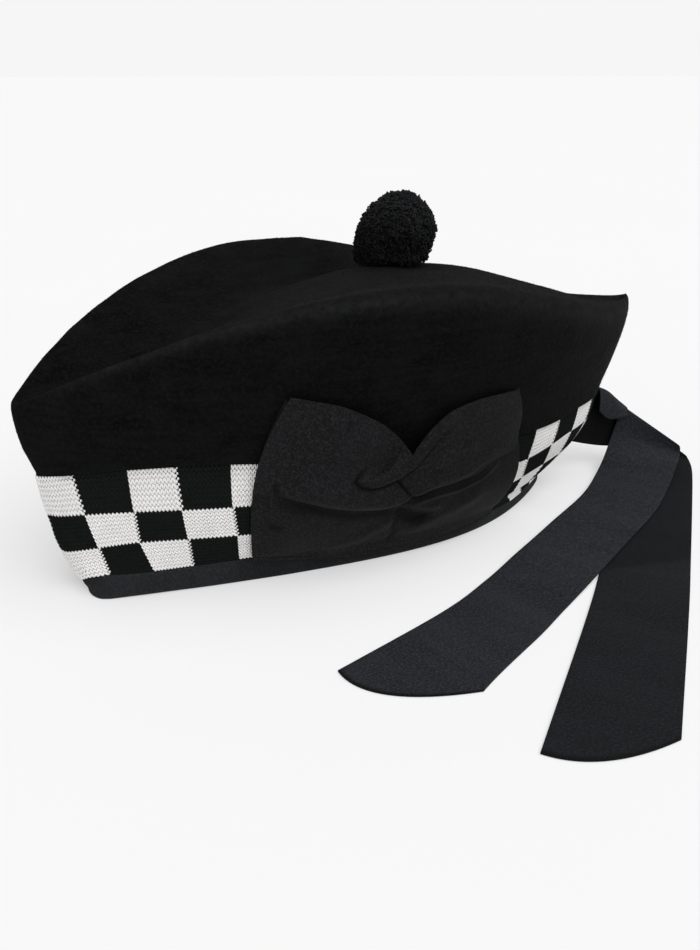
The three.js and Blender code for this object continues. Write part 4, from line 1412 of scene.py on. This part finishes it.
def build_cockade():
    ribbon = ribbon_material("cockade_ribbon", colours().ribbon, RIBBON_PITCH, RIBBON_SLANT, fleck=2.3)
    cockade_piece(
        "cockade_lower", "cockade_under", COCKADE_UNDER, UNDER_FOLDS, looped=False,
        edge_depth=(0, 0, 0, 0),
        material=ribbon)
    cockade_piece(
        "cockade_front_loop", "cockade_left_loop", COCKADE_LEFT, LEFT_FOLDS, looped=True,
        edge_depth=(0, 4, 4.5, 4), material=ribbon)
    cockade_piece(
        "cockade_back_loop", "cockade_right_loop", COCKADE_RIGHT, RIGHT_FOLDS, looped=True,
        edge_depth=(4, 4.5, 4, 0), material=ribbon)


# Tie and tails

def build_back_tie(material):
    """Ribbon root: a standing ribbon behind the cap with its upper edge turned over to the left."""
    value = columns_at(TIE, BACK_TIE, np.linspace(0, len(BACK_TIE) - 1, TIE_STEPS))
    x, low_x, low, high = (value[name] for name in ("x", "low_x", "low", "high"))
    shoulder = high - TIE_DROP
    depths = (TIE_BACK, TIE_BACK, TIE_BACK, TIE_TOP, TIE_FRONT, TIE_FLAP)
    corners = (
        (low_x, (low_x + x) / 2, x, x, x, x),
        [np.full(TIE_STEPS, depth) for depth in depths],
        (low, (low + shoulder) / 2, shoulder, high, shoulder, value["flap"]),
    )
    at = np.concatenate([np.linspace(*stretch) for stretch in TIE_STRETCHES])
    net = np.empty((TIE_STEPS, len(at), 3))
    for axis, lines in enumerate(corners):
        for step, section in enumerate(zip(*lines)):
            net[step, :, axis] = through(TIE_CORNERS, section, at)
    length, width = TIE_CLOTH
    u, v = np.meshgrid(np.linspace(0, length, TIE_STEPS), np.linspace(0, width, len(at)), indexing="ij")
    # The standing side is painted dark, as the shadow under the crown.
    painted_shade_and_marks = np.broadcast_to(np.where(at < TIE_SHADED, 1.0, 0.0), u.shape)
    piece = ribbon_piece("ribbon_root", "back_tie", net, np.stack([u, v], axis=-1), painted_shade_and_marks, material)


def tail_net(rows, slant, rounding):
    """Middle surface of a tail, with its length and width in metres for the cloth's UV."""
    order = np.linspace(0, len(rows) - 1, TAIL_STEPS)[:, None]
    value = columns_at(TAIL, rows, order)
    across = np.radians(value["across"])
    bank = np.radians(value["bank"])
    v = np.linspace(-1, 1, TAIL_LAYERS)[None, :]
    cut = np.maximum(0, order - (len(rows) - 2)) * (-slant * v - rounding * v * v)
    half = v * value["width"] / 2
    x = value["x"] + half * np.cos(across) * np.cos(bank) + cut * np.sin(across)
    y = value["y"] + half * np.sin(across) * np.cos(bank) - cut * np.cos(across)
    net = np.stack([x, y, value["z"] + half * np.sin(bank)], axis=-1)
    u = run_along(net[:, TAIL_LAYERS // 2])[:, None] + cut
    return net, np.stack([u, half], axis=-1) * MM


def tail_piece(name, node, rows, cut, shades, material):
    """Tail of the ribbon, painted darker as shadow over its length nearest the root, with a dark line at its
    cut end.
    """
    net, uv = tail_net(rows, *cut)
    waves = 0.5 + waves_at(net * (1, 1, 0), TAIL_WAVES)
    net[..., 2] += TAIL_LIFT * waves * np.clip((net[..., 2] - TAIL_LOW) / TAIL_FREE, TAIL_CALM, 1)
    # Painted shadow over the length nearest the root.
    length, growth, in_shadow, out_of_shadow = shades
    past = uv[..., 0] / MM - length - growth * uv[..., 1] / MM
    painted_shade_and_marks = np.interp(past, (-SHADOW_EDGE, SHADOW_EDGE), (in_shadow, out_of_shadow))
    painted_shade_and_marks[-1:] = 1
    piece = ribbon_piece(name, node, net, uv, painted_shade_and_marks, material)


def build_tie_and_tails():
    ribbon = ribbon_material("tail_ribbon", colours().tails, RIBBON_PITCH, RIBBON_SLANT, fleck=1.6)
    build_back_tie(ribbon)
    tail_piece(
        "ribbon_tail_under", "tail_under", TAIL_UNDER, UNDER_CUT, UNDER_TAIL_SHADES,
        material=ribbon)
    tail_piece(
        "ribbon_tail_over", "tail_over", TAIL_OVER, OVER_CUT, OVER_TAIL_SHADES,
        material=ribbon)


# Stage

def soft_light(name, towards, power, spread):
    """Even light from one side of the studio, soft over an angle in degrees."""
    light = bpy.data.lights.new(name, "SUN")
    light.energy = power
    light.angle = math.radians(spread)
    lamp = new_object(name, light)
    lamp.location = towards
    lamp.rotation_euler = Vector(towards).to_track_quat("Z", "Y").to_euler()


def pale_world():
    """Pale studio background that gives a weak, even light of its own."""
    world = bpy.data.worlds.new("studio")
    world.use_nodes = True
    tree = world.node_tree
    tree.nodes.clear()
    seen = output_of(tree, "ShaderNodeLightPath", output="Is Camera Ray")
    strength = output_of(
        tree, "ShaderNodeMapRange", {"Value": seen, "To Min": WORLD_LIGHT, "To Max": WORLD_SEEN})
    background = output_of(tree, "ShaderNodeBackground", {"Color": (1, 1, 1, 1), "Strength": strength})
    add_node(tree, "ShaderNodeOutputWorld", {"Surface": background})
    return world


def build_stage():
    """Pale floor, soft studio light and the camera of the photograph."""
    scene = bpy.context.scene
    ends = (-FLOOR_HALF, FLOOR_HALF)
    corners = [[[x, y, FLOOR_LEVEL] for y in ends] for x in ends]
    floor = new_object("floor", net_mesh("floor", np.array(corners)))
    give(floor, floor_material())
    for light in LIGHTS:
        soft_light(*light)
    scene.world = pale_world()
    scene.view_settings.view_transform = "Standard"
    lens = bpy.data.cameras.new("photo_camera")
    lens.lens = CAMERA_LENS
    lens.sensor_width = CAMERA_SENSOR
    lens.clip_start = 0.01
    camera = new_object("photo_camera", lens)
    place = Vector(CAMERA_PLACE) * MM
    target = Vector(CAMERA_TARGET) * MM
    camera.location = place
    camera.rotation_euler = (target - place).to_track_quat("-Z", "Y").to_euler()
    scene.camera = camera


# Operators, panel and registration

class GlengarryCrown(bpy.types.Operator):
    """Felt crown with its loose fibres"""

    bl_idname = "glengarry.crown"
    bl_label = "Crown"

    def execute(self, context):
        build_crown()
        return {"FINISHED"}


class GlengarryDicing(bpy.types.Operator):
    """Knitted dicing band with its stitches"""

    bl_idname = "glengarry.dicing"
    bl_label = "Dicing band"

    def execute(self, context):
        build_dicing_band()
        return {"FINISHED"}


class GlengarryBinding(bpy.types.Operator):
    """Ribbed ribbon round the rim"""

    bl_idname = "glengarry.binding"
    bl_label = "Edge binding"

    def execute(self, context):
        build_edge_binding()
        return {"FINISHED"}


class GlengarryToorie(bpy.types.Operator):
    """Ball of yarn with its curls"""

    bl_idname = "glengarry.toorie"
    bl_label = "Toorie"

    def execute(self, context):
        build_toorie()
        return {"FINISHED"}


class GlengarryCockade(bpy.types.Operator):
    """Ribbon cockade of an under layer and two loops"""

    bl_idname = "glengarry.cockade"
    bl_label = "Cockade"

    def execute(self, context):
        build_cockade()
        return {"FINISHED"}


class GlengarryTails(bpy.types.Operator):
    """Ribbon root behind the cap and its two tails"""

    bl_idname = "glengarry.tails"
    bl_label = "Tie and tails"

    def execute(self, context):
        build_tie_and_tails()
        return {"FINISHED"}


class GlengarryStage(bpy.types.Operator):
    """Floor, lights and camera"""

    bl_idname = "glengarry.stage"
    bl_label = "Stage"

    def execute(self, context):
        build_stage()
        return {"FINISHED"}


PIECES = (
    GlengarryCrown, GlengarryDicing, GlengarryBinding, GlengarryToorie,
    GlengarryCockade, GlengarryTails, GlengarryStage,
)


class GlengarryPanel(bpy.types.Panel):
    """Sizes, colours and pieces of the glengarry"""

    bl_idname = "VIEW3D_PT_glengarry"
    bl_label = "Glengarry"
    bl_space_type = "VIEW_3D"
    bl_region_type = "UI"
    bl_category = "Glengarry"

    def draw(self, context):
        for group in (context.scene.glengarry_sizes, context.scene.glengarry_colours):
            box = self.layout.box()
            for name in group.__annotations__:
                box.prop(group, name)
        for piece in PIECES:
            self.layout.operator(piece.bl_idname)


CLASSES = (GlengarrySizes, GlengarryColours, *PIECES, GlengarryPanel)


def register():
    for item in CLASSES:
        bpy.utils.register_class(item)
    bpy.types.Scene.glengarry_sizes = bpy.props.PointerProperty(type=GlengarrySizes)
    bpy.types.Scene.glengarry_colours = bpy.props.PointerProperty(type=GlengarryColours)


def unregister():
    del bpy.types.Scene.glengarry_colours
    del bpy.types.Scene.glengarry_sizes
    for item in reversed(CLASSES):
        bpy.utils.unregister_class(item)


def main():
    register()
    bpy.ops.glengarry.crown()
    bpy.ops.glengarry.dicing()
    bpy.ops.glengarry.binding()
    bpy.ops.glengarry.toorie()
    bpy.ops.glengarry.cockade()
    bpy.ops.glengarry.tails()
    bpy.ops.glengarry.stage()


if __name__ == "__main__":
    main()
